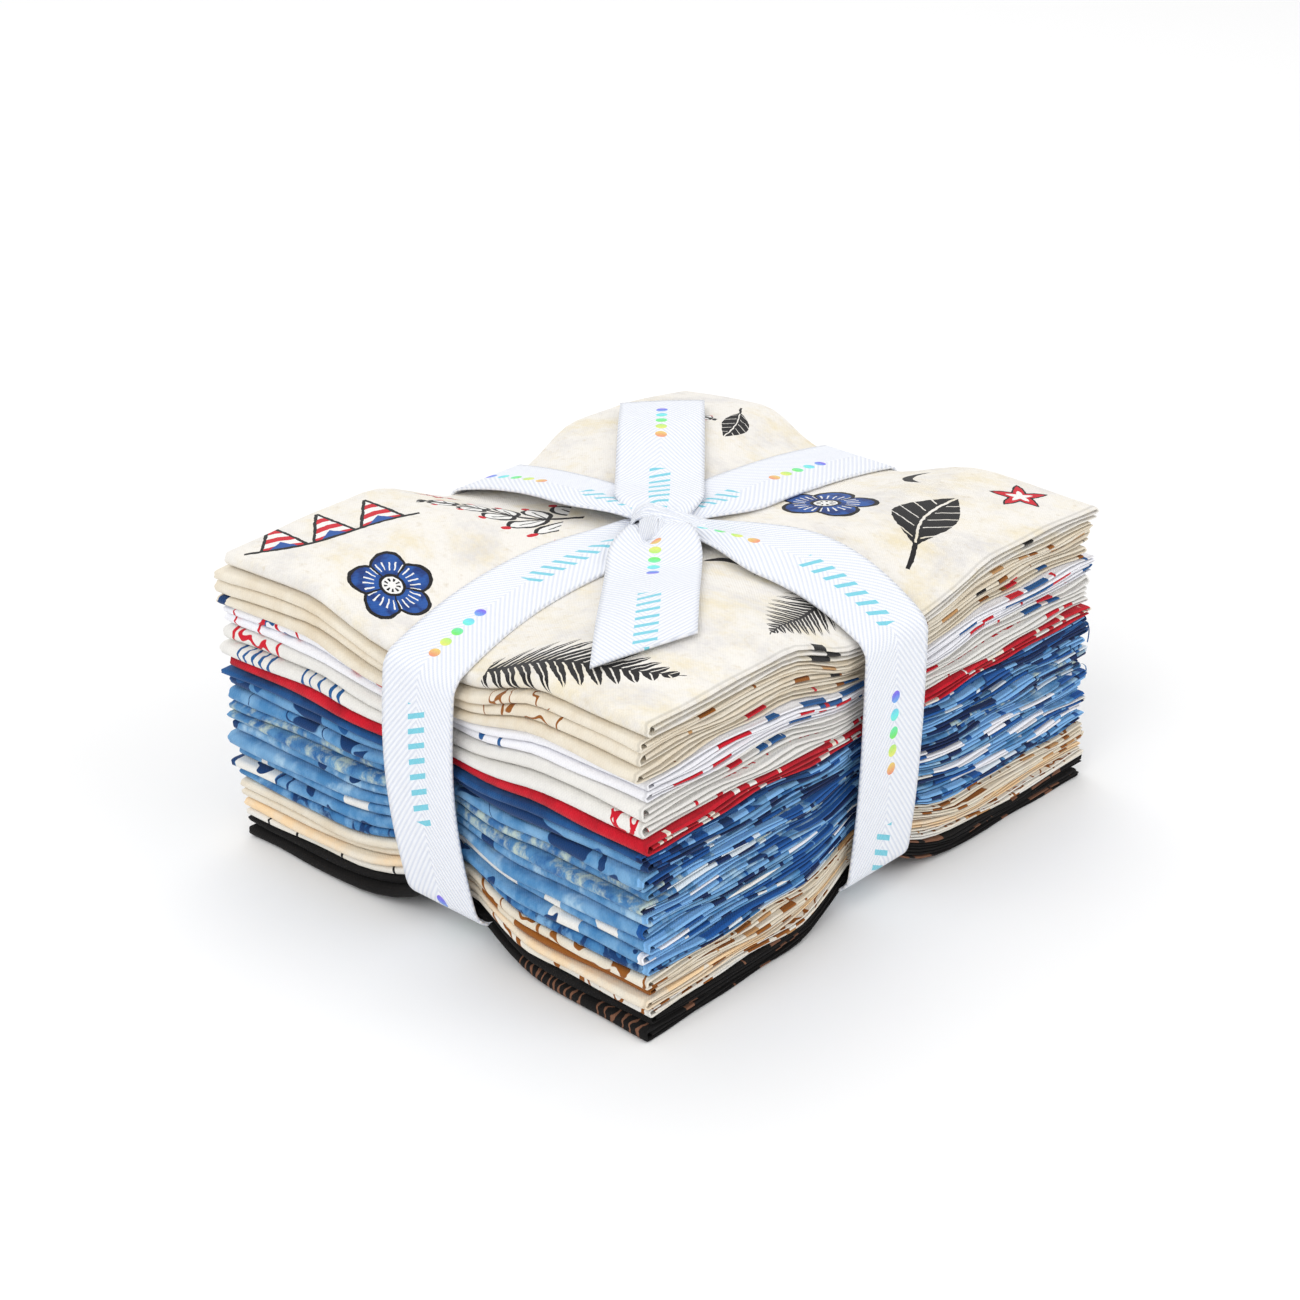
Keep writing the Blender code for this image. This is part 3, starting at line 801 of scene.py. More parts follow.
@dataclass(frozen=True)
class LooseThread:
    """A thread that hangs from a cotton's loose corner, in mm: its length and how it leans."""

    length: float
    lean: float
    thickness: float = 0.35

    def mesh(self, foot: np.ndarray) -> bpy.types.Mesh:
        """The thread, from its foot in the tied stack."""
        part = np.linspace(0, 1, 12)[:, None]
        side = np.array((-0.5, 0.5))[None, :] * self.thickness
        x = foot[0] + 1.6 * np.sin(np.pi * part) + self.lean * part + side * 0.7
        y = foot[1] - 1.4 * part - side * 0.7
        z = foot[2] - self.length * part**1.3 + 0.0 * side
        grid = np.stack(np.broadcast_arrays(x, y, z), axis=-1)
        return grid_mesh("thread", grid, side + 0.0 * part, self.length * part + 0.0 * side)


@dataclass
class FoldedCotton:
    """One fat quarter, folded in thirds both ways, in mm.

    Its share of the stack's height, how far it lies off the middle, how far it falls short
    at +Y, how far its loose edge is drawn in, and whether it lies upside down.
    """

    number: int
    pitch: float
    shift_x: float
    shift_y: float
    short: float
    loose: float
    turned: bool
    slot: str
    finish: Print
    threads: tuple[LooseThread, ...] = ()
    piece_gap: float = 0.12
    pack_fill: float = 0.88
    edge_wave: float = 0.5
    edge_wave_length: float = 95.0
    layer_step: float = 0.2
    end_round: float = 0.4
    phase_step: float = 2.4
    lip: float = 0.8
    thin_loose: float = 1.6
    thin_tucked: float = 2.5
    thin_reach: float = 70.0
    thick_reach: float = 86.0
    tucked_more: float = 1.5
    grid_step: float = 5.3

    @property
    def node(self) -> str:
        """The solid that this cotton stands for."""
        return f"fabric_{self.number:02d}"

    def stations(self, reach: float) -> np.ndarray:
        """Evenly spaced places across a panel."""
        return np.linspace(-reach, reach, 1 + round(2 * reach / self.grid_step))

    def mesh(self, stack: TiedStack, base: float) -> bpy.types.Mesh:
        """The folded sheet.

        Args:
            stack: the tied stack that it lies in.
            base: the height of its underside in the loose stack.

        Returns:
            The sheet's mesh, nine layers joined by their folds.
        """
        height = self.pitch - self.piece_gap
        pack_pitch = height / (2 + self.pack_fill)
        pack = pack_pitch * self.pack_fill
        layer_pitch = pack / 3
        thin = FoldLine(-stack.depth / 2, stack.depth / 2, layer_pitch, 0.0, self.thin_loose,
                        self.thin_tucked, self.stations(self.thin_reach), 7, 5)
        left, right = -stack.length / 2 + self.shift_x, stack.length / 2 + self.shift_x
        thick = FoldLine(left, right, pack_pitch, pack, self.loose, pack + self.tucked_more,
                         self.stations(self.thick_reach), 11, 7)
        lane, _, t = thin.points()
        row, square, s = thick.points()
        inner = lane[:, 1] - layer_pitch
        lip = self.lip * layer_pitch
        inner = np.concatenate([[inner[0] - lip], inner, [inner[-1] - lip]])
        y = np.concatenate([[lane[0, 0]], lane[:, 0], [lane[-1, 0]]])
        t = np.concatenate([[t[0] - layer_pitch], t, [t[-1] + layer_pitch]])
        grid_x = row[None, :, 0] + square[None, :, 0] * inner[:, None]
        level = row[None, :, 1] + square[None, :, 1] * inner[:, None] + pack / 2
        if self.turned:
            level = height - level
        grid_y = np.broadcast_to(y[:, None], grid_x.shape)
        across = np.broadcast_to(s[None, :], grid_x.shape)
        along = np.broadcast_to(t[:, None], grid_x.shape)
        points = self.settled(stack, grid_x, grid_y, level, base, height)
        return grid_mesh(self.node, points, across, along)

    def settled(self, stack: TiedStack, x: np.ndarray, y: np.ndarray, level: np.ndarray,
                base: float, height: float) -> np.ndarray:
        """Let the fold edges wander and lay the sheet in the tied stack."""
        phase = self.phase_step * self.number
        turn = 2 * np.pi
        near_x = smooth_step(np.abs(x), 50, 88)
        near_y = smooth_step(np.abs(y), 40, 72)
        wave_x = self.edge_wave * np.sin(phase + turn * y / self.edge_wave_length)
        wave_x += 0.18 * np.sin(1.9 * phase + turn * y / 31 + 1.1 * level / height)
        wave_y = self.shift_y + self.edge_wave * np.sin(phase + 1 + turn * x / self.edge_wave_length)
        wave_y = wave_y - self.short * (y > 0) + self.layer_step * np.sin(phase + 2 * turn * level / height)
        wave_y = wave_y + 0.2 * np.sin(2.3 * phase + turn * x / 27 + 5 * level / height)
        rounding = self.end_round * (2 * level / height - 1) ** 2
        wave_x = wave_x - rounding * (x > 0)
        wave_y = wave_y - rounding * np.sign(y)
        up = base + level
        middle = smooth_step(up, 0.0, 7.0) * smooth_step(stack.laid_height - up, 0.0, 7.0)
        rise = 0.14 * np.sin(turn * (y - 0.4 * x) / 83 + up / 2.6) * near_x
        front = 0.34 * np.sin(turn * x / 47 + up / 2.3) + 0.22 * np.sin(turn * x / 29 + up / 1.7 + 2)
        rise += front * near_y
        return stack.settle(x + wave_x * near_x, y + wave_y * near_y, up + rise * middle)

    def build(self, stack: TiedStack, base: float, under: str) -> bpy.types.Object:
        corner_x = np.array(stack.length / 2 + self.shift_x - self.loose)
        corner_y = np.array(-stack.depth / 2 + self.shift_y)
        foot = stack.settle(corner_x, corner_y, np.array(base + self.pitch / 2))
        meshes = [self.mesh(stack, base), *(thread.mesh(foot) for thread in self.threads)]
        name = f"cotton_{self.number:02d}"
        piece = add_piece(name, join_meshes(name, meshes), self.finish.material())
        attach(piece, ROOT)
        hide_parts(self.node)
        return piece


CREAM = paint(226, 212, 188)
PALE_CREAM = paint(236, 228, 212)
SNOW = paint(243, 243, 248)
OFF_WHITE = paint(237, 235, 230)
SHADE_WHITE = paint(228, 226, 222)
RED = paint(206, 12, 38)
DEEP_RED = paint(172, 4, 30)
NAVY = paint(8, 56, 108)
DARK_NAVY = paint(4, 38, 88)
DEEP_BLUE = paint(20, 86, 158)
BRIGHT_SKY = paint(128, 182, 232)
BLUE = paint(26, 88, 148)
MID_BLUE = paint(72, 134, 186)
SKY = paint(124, 172, 212)
PALE_SKY = paint(168, 202, 226)
MIST = paint(222, 232, 240)
TEAL = paint(92, 148, 194)
DEEP_TEAL = paint(40, 98, 158)
STRAW = paint(188, 204, 196)
BROWN = paint(148, 86, 22)
TAN = paint(196, 150, 100)
APRICOT = paint(250, 218, 174)
BLACK = paint(14, 12, 12)
COAL = paint(19, 17, 17)
UMBER = paint(124, 86, 66)
INK = paint(20, 18, 20)
PRINT_RED = paint(204, 18, 40)
PRINT_BLUE = paint(34, 84, 160)
PRINT_NAVY = paint(20, 52, 116)
PRINT_WHITE = paint(240, 239, 236)

# The near half of the left face
NEAR_HALF = (-45.0, 31.0)

CREAM_DASHES = ((BROWN, 4.0, 0.12), (TAN, 6.0, 0.10))
BRIGHT_DASHES = ((BLUE, 11.0, 0.19), (RED, 8.0, 0.15))
SPARSE_DASHES = ((BLUE, 6.0, 0.08), (RED, 5.0, 0.08))
BLUE_DASHES = ((DARK_NAVY, 7.0, 0.36), (DEEP_BLUE, 8.0, 0.26), (BRIGHT_SKY, 6.0, 0.22), (MIST, 7.0, 0.06))
PALE_DASHES = ((DARK_NAVY, 6.0, 0.18), (DEEP_BLUE, 6.0, 0.22), (BRIGHT_SKY, 7.0, 0.26), (SNOW, 12.0, 0.07))
BLACK_DASHES = ((UMBER, 3.0, 0.10),)

FIGURES = (
    Fern(-88.0, -18.0, -80.0, 52.0),
    Fern(2.0, -54.0, 186.0, 42.0),
    Leaf(32.0, -56.0, 12.0, 38.0),
    Leaf(80.0, 40.0, 210.0, 20.0),
    Sprig(-12.0, 24.0, 130.0, 44.0),
    Sprig(60.0, 66.0, -70.0, 28.0),
    Blossom(-74.0, 27.0, 20.0, 12.5),
    Blossom(44.0, -23.0, 50.0, 13.5),
    Star(83.0, -58.0, 40.0, 8.0),
    Star(-26.0, 66.0, 12.0, 6.0),
    Pennants(-87.0, 68.0, -26.0, 14.0),
    Crescent(-12.0, -30.0, 100.0, 13.0),
    Crescent(80.0, -32.0, 200.0, 13.0),
)

# Top to bottom: number, share of the height, shifts, short, loose, turned, slot and print
COTTONS = (
    FoldedCotton(1, 4.0, 0.9, 0.2, -1.6, 0.8, False, "cotton_cream_sprig", FigurePrint(
        "cream_sprig", paint(239, 235, 228), paint(214, 202, 180), (), ((INK, 6.0, 0.09),),
        figures=FIGURES)),
    FoldedCotton(2, 2.7, -1.3, 0.6, -2.2, 1.2, True, "cotton_cream_a", Print(
        "cream_a", PALE_CREAM, CREAM, (
            Motif(Mark.LINE, BROWN, 8, 0.012, 1.0, (-34, 12)),
        ), CREAM_DASHES, bare=0.8)),
    FoldedCotton(3, 3.5, -0.5, 1.2, -2.0, 0.4, False, "cotton_cream_b", Print(
        "cream_b", PALE_CREAM, CREAM, (
            Motif(Mark.LINE, BROWN, 9, 0.022, 7.0, (-34, 16)),
        ), ((INK, 5.0, 0.1), *CREAM_DASHES), bare=0.8)),
    FoldedCotton(4, 3.4, -1.5, 1.5, -2.0, 1.6, False, "cotton_cream_c", Print(
        "cream_c", PALE_CREAM, CREAM, (
            Motif(Mark.BAR, NAVY, 5, 0.5, 3.0, (75, 2.5)),
        ), ((BROWN, 5.0, 0.1), *SPARSE_DASHES), bare=0.6)),
    FoldedCotton(5, 3.2, 1.0, 0.2, -1.8, 0.5, True, "cotton_white_a", Print(
        "white_a", SNOW, SNOW, (
            Motif(Mark.PATCH, BLUE, 8, 0.46, 5.0, (54, 7)),
            Motif(Mark.LINE, RED, 9, 0.03, 2.0, (60, 12)),
            Motif(Mark.PATCH, RED, 8, 0.44, 15.0, (22, 6)),
        ), BRIGHT_DASHES)),
    FoldedCotton(6, 2.8, 1.5, 0.9, -2.2, 1.0, False, "cotton_white_b", Print(
        "white_b", SNOW, SNOW, (
            Motif(Mark.LINE, RED, 9, 0.025, 3.0, (66, 7)),
            Motif(Mark.LINE, BLUE, 9, 0.022, 6.0, (-24, 7)),
        ), SPARSE_DASHES, bare=0.5)),
    FoldedCotton(7, 3.9, 0.3, 1.1, -2.0, 1.2, False, "cotton_ivory_a", Print(
        "ivory_a", OFF_WHITE, SHADE_WHITE, (
            Motif(Mark.LINE, RED, 8, 0.028, 7.5, (64, 9)),
        ), ((RED, 5.0, 0.1), (BLUE, 4.0, 0.06)), bare=0.8)),
    FoldedCotton(8, 3.9, -0.8, 0.4, -2.2, 0.6, True, "cotton_ivory_b", Print(
        "ivory_b", OFF_WHITE, SHADE_WHITE, (
            Motif(Mark.STRIPE, BLUE, 2.9, 0.36, 8.0, (62, 7)),
            Motif(Mark.STRIPE, BLUE, 3.6, 0.26, 3.0, (38, 8)),
            Motif(Mark.LINE, RED, 4, 0.05, 8.0, (-70, 4.5)),
        ), ((RED, 3.0, 0.06),))),
    FoldedCotton(9, 3.4, -0.2, -0.4, -1.8, 0.9, False, "cotton_red", Print(
        "red", RED, DEEP_RED, (), ((OFF_WHITE, 3.0, 0.14), (PALE_CREAM, 1.6, 0.08)), 9.0)),
    FoldedCotton(10, 2.4, -1.2, 0.3, -2.2, 1.4, False, "cotton_navy_a", Print(
        "navy_a", NAVY, BLUE, (), BLUE_DASHES), (LooseThread(6.5, 0.6), LooseThread(3.0, -0.5))),
    FoldedCotton(11, 3.7, 0.6, -0.1, -1.8, 0.7, True, "cotton_navy_b", Print(
        "navy_b", MID_BLUE, SKY, (
            Motif(Mark.PATCH, NAVY, 20, 0.5, 2.5),
            Motif(Mark.PATCH, BLUE, 9, 0.4, 3.5),
        ), BLUE_DASHES)),
    FoldedCotton(12, 3.3, -0.4, 0.8, -2.0, 1.2, False, "cotton_sky_a", Print(
        "sky_a", SKY, MID_BLUE, (
            Motif(Mark.LINE, NAVY, 13, 0.008, 3.5),
            Motif(Mark.PATCH, NAVY, 16, 0.37, 6.5),
        ), BLUE_DASHES, 7.0)),
    FoldedCotton(13, 3.0, 0.9, 0.1, -2.2, 0.5, False, "cotton_teal_a", Print(
        "teal_a", TEAL, DEEP_TEAL, (
            Motif(Mark.WASH, STRAW, 6.0, 0.46, 4.5),
        ), BLUE_DASHES, 6.0)),
    FoldedCotton(14, 3.4, -0.9, 0.6, -1.9, 1.4, True, "cotton_teal_b", Print(
        "teal_b", TEAL, DEEP_TEAL, (
            Motif(Mark.WASH, STRAW, 5.0, 0.44, 5.5),
        ), BLUE_DASHES, 6.0), (LooseThread(4.0, 0.9),)),
    FoldedCotton(15, 3.4, 0.4, -0.3, -2.2, 0.8, False, "cotton_blue_a", Print(
        "blue_a", MID_BLUE, SKY, (
            Motif(Mark.WASH, PALE_SKY, 8.0, 0.44, 5.5),
            Motif(Mark.PATCH, NAVY, 10, 0.37, 6.5),
        ), PALE_DASHES, 7.0)),
    FoldedCotton(16, 3.4, -0.6, 0.5, -2.0, 1.5, False, "cotton_sky_b", Print(
        "sky_b", SKY, MID_BLUE, (
            Motif(Mark.WASH, PALE_SKY, 9.0, 0.38, 7.2),
        ), PALE_DASHES, 9.0)),
    FoldedCotton(17, 3.1, 0.7, -0.5, -1.6, 0.7, True, "cotton_blue_b", Print(
        "blue_b", MID_BLUE, SKY, (
            Motif(Mark.BAR, OFF_WHITE, 11, 0.34, 8.2),
        ), PALE_DASHES, 6.0)),
    FoldedCotton(18, 3.4, -1.0, 0.0, -1.2, 1.1, False, "cotton_blue_c", Print(
        "blue_c", MID_BLUE, SKY, (
            Motif(Mark.STRIPE, NAVY, 4.0, 0.2, 3.0, (64, 11)),
            Motif(Mark.BAR, OFF_WHITE, 13, 0.24, 4.6),
            Motif(Mark.PATCH, NAVY, 8, 0.38, 9.2),
        ), PALE_DASHES, 6.0)),
    FoldedCotton(19, 3.0, 0.1, -0.7, -1.0, 1.6, False, "cotton_blue_d", Print(
        "blue_d", MID_BLUE, BLUE, (
            Motif(Mark.LINE, NAVY, 8, 0.03, 10.2),
            Motif(Mark.WASH, SKY, 6, 0.42, 2.1),
        ), BLUE_DASHES, 6.0)),
    FoldedCotton(20, 3.1, -0.7, -0.9, -0.6, 0.5, True, "cotton_cream_d", Print(
        "cream_d", PALE_CREAM, CREAM, (
            Motif(Mark.LINE, BROWN, 7, 0.03, 11.2, NEAR_HALF),
        ), CREAM_DASHES)),
    FoldedCotton(21, 2.7, 0.8, -1.1, -0.2, 1.2, False, "cotton_cream_e", Print(
        "cream_e", PALE_CREAM, CREAM, (
            Motif(Mark.PATCH, BROWN, 17, 0.5, 12.2, NEAR_HALF),
        ), CREAM_DASHES)),
    FoldedCotton(22, 2.7, -0.3, -0.8, 0.2, 0.8, False, "cotton_apricot", Print(
        "apricot", PALE_CREAM, APRICOT, (), ((BROWN, 4.0, 0.08), (APRICOT, 9.0, 0.3)), 22.0)),
    FoldedCotton(23, 2.7, 0.5, -1.0, 0.6, 1.4, True, "cotton_white_c", Print(
        "white_c", OFF_WHITE, PALE_CREAM, (
            Motif(Mark.LINE, BROWN, 6, 0.03, 13.2, NEAR_HALF),
            Motif(Mark.STRIPE, INK, 15.0, 0.07, 3.0, (40, 28)),
        ), CREAM_DASHES)),
    FoldedCotton(24, 3.1, 1.2, -0.8, 1.0, 0.6, False, "cotton_black_a", Print(
        "black_a", BLACK, COAL, (), BLACK_DASHES, sheen=0.03)),
    FoldedCotton(25, 3.0, -0.6, -0.9, 1.4, 1.0, True, "cotton_black_b", Print(
        "black_b", BLACK, COAL, (
            Motif(Mark.STRIPE, UMBER, 2.6, 0.3, 14.2, (-40, 14)),
            Motif(Mark.STRIPE, UMBER, 2.9, 0.25, 4.2, (-66, 8)),
        ), BLACK_DASHES, sheen=0.03)),
)


@dataclass(frozen=True)
class TwillFinish:
    """White herringbone tape: slanted ribs that meet in a spine, with painted shade in the grooves between
    them, printed with plain dashes and dots.
    """

    name: str = "herringbone_twill"
    white: Colour = paint(244, 246, 251)
    # painted shade: the bluish grey that the grooves between the ribs take
    groove_shade: Colour = paint(221, 226, 238)
    aqua: Colour = paint(122, 208, 226)
    rib: float = 1.25
    slant: float = math.radians(38)
    thread: float = 0.62
    repeat: float = 92.0
    dashes: tuple[float, float] = (2.0, 36.0)
    dash_pitch: float = 4.4
    dash_width: float = 1.6
    dash_reach: float = 3.0
    dash_slant: float = 0.45
    dots: tuple[float, float] = (50.0, 76.0)
    dot_pitch: float = 5.2
    dot_radius: float = 1.7

    def printed(self, dye: DyeBath, colour: Signal) -> Signal:
        """A row of slanted dashes and then a row of many-coloured dots, over and over."""
        run = dye.along % self.repeat
        slanted = (dye.along + dye.across * self.dash_slant) % self.dash_pitch < self.dash_width
        dash = slanted * (abs(dye.across) < self.dash_reach)
        dash = dash * (run > self.dashes[0]) * (run < self.dashes[1])
        colour = dye.mix(dash, colour, self.aqua)
        beside = (run - self.dots[0]) % self.dot_pitch - self.dot_pitch / 2
        dot = beside * beside + dye.across * dye.across < self.dot_radius**2
        dot = dot * (run > self.dots[0]) * (run < self.dots[1])
        hue = (run - self.dots[0]) / (self.dots[1] - self.dots[0]) * 0.72
        bright = dye.node("ShaderNodeCombineColor", {"mode": "HSV"}, {0: hue, 1: 0.80, 2: 0.84})
        return dye.mix(dot, colour, bright)

    def material(self) -> bpy.types.Material:
        """The finish's nodes."""
        dye = DyeBath(self.name, 0.6, 0.2)
        turn = 2 * math.pi
        beside = abs(dye.across)
        cosine, sine = math.cos(self.slant), math.sin(self.slant)
        ribs = ((beside * cosine + dye.along * sine) * (turn / self.rib)).sin()
        stitch = ((dye.along * cosine - beside * sine) * (turn / self.thread)).sin()
        height = ribs * 0.5 + 0.5 + stitch * 0.12
        slub = dye.noise(2.0, 1.0, 2.0)
        # painted shade: the grooves between the ribs are coloured darker than the rib tops, following the
        # bump's height
        colour = dye.mix(height.ramp(0.0, 0.7), self.groove_shade, self.white)
        colour = dye.shade(self.printed(dye, colour), 0.98 + (slub - 0.5) * 0.05)
        return dye.finish(colour, height, 0.16)


@dataclass(frozen=True)
class LooseEnd:
    """A loose end of the ribbon, in mm and degrees.

    The way it heads, its length, how far its cut slants, its perch above the cloth, where
    the printed repeat starts on it, the height of its root, where it reaches full width,
    how much it puffs up, how deep the hollow beside the knot is, and its pleats.
    """

    heading: float
    length: float
    slant: float
    perch: float
    start: float
    root: float
    spread: float
    puff: float
    hollow: float
    pleat: float
    pleats: int


@dataclass
class TwillRibbon:
    """The ribbon: two turns, the knot and two loose ends, in mm."""

    stack: TiedStack
    width: float = 25.4
    thickness: float = 0.7
    clearance: float = 0.7
    layer_step: float = 0.9
    corner: float = 4.5
    side_clearance: float = 1.0
    gather_start: float = 6.0
    step: float = 2.5
    corner_steps: int = 7
    side_steps: int = 26
    tail_steps: int = 40
    columns: int = 17
    smoothings: int = 2
    tail_gather: float = 11.0
    tail_gather_start: float = -8.0
    puff_reach: float = 28.0
    landing: tuple[float, float] = (6.0, 40.0)
    hollow_at: tuple[float, float] = (13.0, -0.12)
    hollow_half: tuple[float, float] = (3.2, 0.14)
    trough_half: float = 0.055
    knot_repeat: float = 37.0
    knot_run: float = 11.0
    knot_smoothings: int = 6
    wrap_left: tuple[float, float] = (136.0, 7.4)
    wrap_right: tuple[float, float] = (-68.0, 19.0)
    wrap_ahead: float = 2.0
    wrap_heights: Pairs = ((0.0, 0.2), (0.12, 3.6), (0.38, 6.0), (0.7, 3.9), (1.0, 0.8))
    wrap_widths: Pairs = ((0.0, 7.5), (0.4, 8.5), (1.0, 14.0))
    wrap_domes: Pairs = ((0.0, 1.2), (0.35, 2.2), (1.0, 0.8))
    wrap_troughs: Pairs = ((0.14, 0.6), (-0.24, 0.45))
    roll_turn: tuple[float, float] = (125.0, -15.0)
    roll_reach: float = 6.0
    roll_aside: float = -1.2
    roll_foot: float = 0.7
    roll_height: float = 4.0
    roll_width: float = 7.0
    roll_dome: float = 1.5
    roll_troughs: Pairs = ((0.2, 0.3),)
    tails: tuple[LooseEnd, ...] = (
        LooseEnd(-139.8, 92.0, -20.0, 1.0, 36.0, 2.6, 25.0, 2.4, 4.6, 0.4, 1),
        LooseEnd(41.4, 85.0, 1.0, 1.6, 0.0, 3.2, 18.0, 1.0, 0.0, 1.0, 3),
    )
    finish: TwillFinish = field(default_factory=TwillFinish)

    @property
    def knot_floor(self) -> float:
        """Height of the cloth under the knot."""
        return self.stack.valley_height + self.stack.valley_crown

    def half_turn(self, axis: Axis, side: int, raised: float) -> list[tuple[float, float, float, bool]]:
        """Stations from the knot to the middle of the underside.

        Returns:
            Place along the axis, height and whether on top, for each.
        """
        half = self.stack.half_side(axis)
        arm = self.stack.arm(axis, side)
        outward = half + self.side_clearance
        inward = outward - self.corner
        clear = self.clearance + raised
        above = self.stack.valley_along(axis, inward) + clear
        below = self.stack.lift_at_side - clear
        stations = []
        for along in np.linspace(0, inward, int(inward / self.step)):
            arch = arm.arch * math.sin(math.pi * along / inward)
            stations.append((along, self.stack.valley_along(axis, along) + clear + arch, True))
        for turn in np.linspace(0.5 * math.pi, 0, self.corner_steps)[1:]:
            high = above + self.corner * (math.sin(turn) - 1)
            stations.append((inward + self.corner * math.cos(turn), high, False))
        for high in np.linspace(above - self.corner, below + self.corner, self.side_steps)[1:]:
            stations.append((outward, high, False))
        for turn in np.linspace(0, -0.5 * math.pi, self.corner_steps)[1:]:
            high = below + self.corner * (1 + math.sin(turn))
            stations.append((inward + self.corner * math.cos(turn), high, False))
        for along in np.linspace(inward, 0, int(inward / self.step))[1:]:
            low = self.stack.lift(min(along, half), 0.0, half) - clear
            stations.append((along, float(low), False))
        return [(side * along, height, top) for along, height, top in stations]

    def turn_mesh(self, axis: Axis, raised: float) -> bpy.types.Mesh:
        """One closed turn round the stack."""
        path = self.half_turn(axis, 1, raised) + self.half_turn(axis, -1, raised)[-2::-1]
        points, across, along_cloth = [], [], []
        parts = np.linspace(-0.5, 0.5, self.columns)
        length = 0.0
        before = None
        span = self.stack.valley_height - self.stack.lift_at_side
        for along, height, top in path:
            arm = self.stack.arm(axis, 1 if along >= 0 else -1)
            spread, lean, pleats = 1.0, 0.0, np.zeros(self.columns)
            if top:
                spread = float(smooth_step(abs(along), self.gather_start, self.gather_start + arm.spread))
                lean = math.sin(math.pi * min(abs(along) / self.stack.half_side(axis), 1.0))
                pleats = arm.pleat * (1 - spread) * (1 + np.cos(parts * 4 * math.pi + 0.6))
            width = arm.knot_width + (self.width - arm.knot_width) * spread
            share = min(max((height - self.stack.lift_at_side) / span, 0.0), 1.0)
            aside = float(self.stack.ribbon_line(axis, np.array(along), np.array(share))) + width * parts
            high = height + pleats + lean * (0.5 * abs(arm.tilt) + arm.tilt * parts)
            flat = np.full(self.columns, along)
            place = (flat, aside, high) if axis is Axis.LONG else (aside, flat, high)
            points.append(np.stack(place, axis=-1))
            here = np.array((along, height))
            length += 0.0 if before is None else float(np.hypot(*(here - before)))
            before = here
            across.append(parts * self.width)
            along_cloth.append(np.full(self.columns, length))
        return grid_mesh("ribbon_turn", np.array(points), np.array(across), np.array(along_cloth))

    def tail_mesh(self, tail: LooseEnd) -> bpy.types.Mesh:
        """A loose end, from inside the knot out over a lobe to its cut end."""
        stack = self.stack
        turn = math.radians(tail.heading)
        ahead = np.array((math.cos(turn), math.sin(turn)))
        side = np.array((-ahead[1], ahead[0]))
        parts = np.linspace(-0.5, 0.5, self.columns)
        root = self.knot_floor + tail.root
        points, across, along_cloth = [], [], []
        for part in np.linspace(0, 1, self.tail_steps):
            run = 1.0 + (tail.length + tail.slant * parts - 1.0) * part
            spread = smooth_step(run, self.tail_gather_start, tail.spread)
            width = self.tail_gather + (self.width - self.tail_gather) * spread
            x = stack.knot_x + ahead[0] * run + side[0] * width * parts
            y = stack.knot_y + ahead[1] * run + side[1] * width * parts
            puff = tail.puff * np.sin(np.pi * np.clip(run / self.puff_reach, 0.0, 1.0)) * (1 + parts)
            rest = stack.cloth_height_at(x, y) + tail.perch + self.thickness
            held = root + puff
            landed = smooth_step(run, *self.landing)
            pleats = tail.pleat * (1 - spread) * np.cos(parts * tail.pleats * 2 * math.pi)
            z = np.maximum(held + (rest - held) * landed, rest) + pleats
            beyond = (run - self.hollow_at[0]) / self.hollow_half[0]
            beside = (parts - self.hollow_at[1]) / self.hollow_half[1]
            z = z - tail.hollow * np.exp(-(beyond**2) - beside**2)
            points.append(np.stack([x, y, z], axis=-1))
            across.append(parts * self.width)
            along_cloth.append(tail.start + run)
        grid = np.array(points)
        for _ in range(self.smoothings):
            grid[1:-1, :, 2] = (grid[:-2, :, 2] + 2 * grid[1:-1, :, 2] + grid[2:, :, 2]) / 4
        return grid_mesh("ribbon_tail", grid, np.array(across), np.array(along_cloth))

    def band_mesh(self, middle: np.ndarray, width: np.ndarray, dome: np.ndarray,
                  troughs: Pairs) -> bpy.types.Mesh:
        """A gathered band of the knot.

        Args:
            middle: the points of its middle line.
            width: its width at each.
            dome: how far it bulges at each.
            troughs: where its creases run, from -0.5 to 0.5, and their share of the bulge.

        Returns:
            The band's mesh.
        """
        ahead = np.gradient(middle[:, :2], axis=0)
        ahead /= np.hypot(ahead[:, 0], ahead[:, 1])[:, None]
        parts = np.linspace(-0.5, 0.5, 2 * self.columns - 1)[None, :]
        bulge = 1 - (2 * parts) ** 2
        for place, depth in troughs:
            bulge = bulge - depth * np.exp(-(((parts - place) / self.trough_half) ** 2))
        x = middle[:, :1] - ahead[:, 1:] * width[:, None] * parts
        y = middle[:, 1:2] + ahead[:, :1] * width[:, None] * parts
        z = middle[:, 2:] + dome[:, None] * bulge
        run = self.knot_repeat + np.linspace(0, self.knot_run, len(middle))[:, None]
        across, along = np.broadcast_arrays(self.width * parts, run)
        return grid_mesh("ribbon_knot", np.stack([x, y, z], axis=-1), across, along)

    def knot_place(self, heading: float, far: float, aside: float = 0.0) -> np.ndarray:
        """A place beside the knot."""
        turn = math.radians(heading)
        return np.array((self.stack.knot_x + far * math.cos(turn) - aside * math.sin(turn),
                         self.stack.knot_y + far * math.sin(turn) + aside * math.cos(turn)))

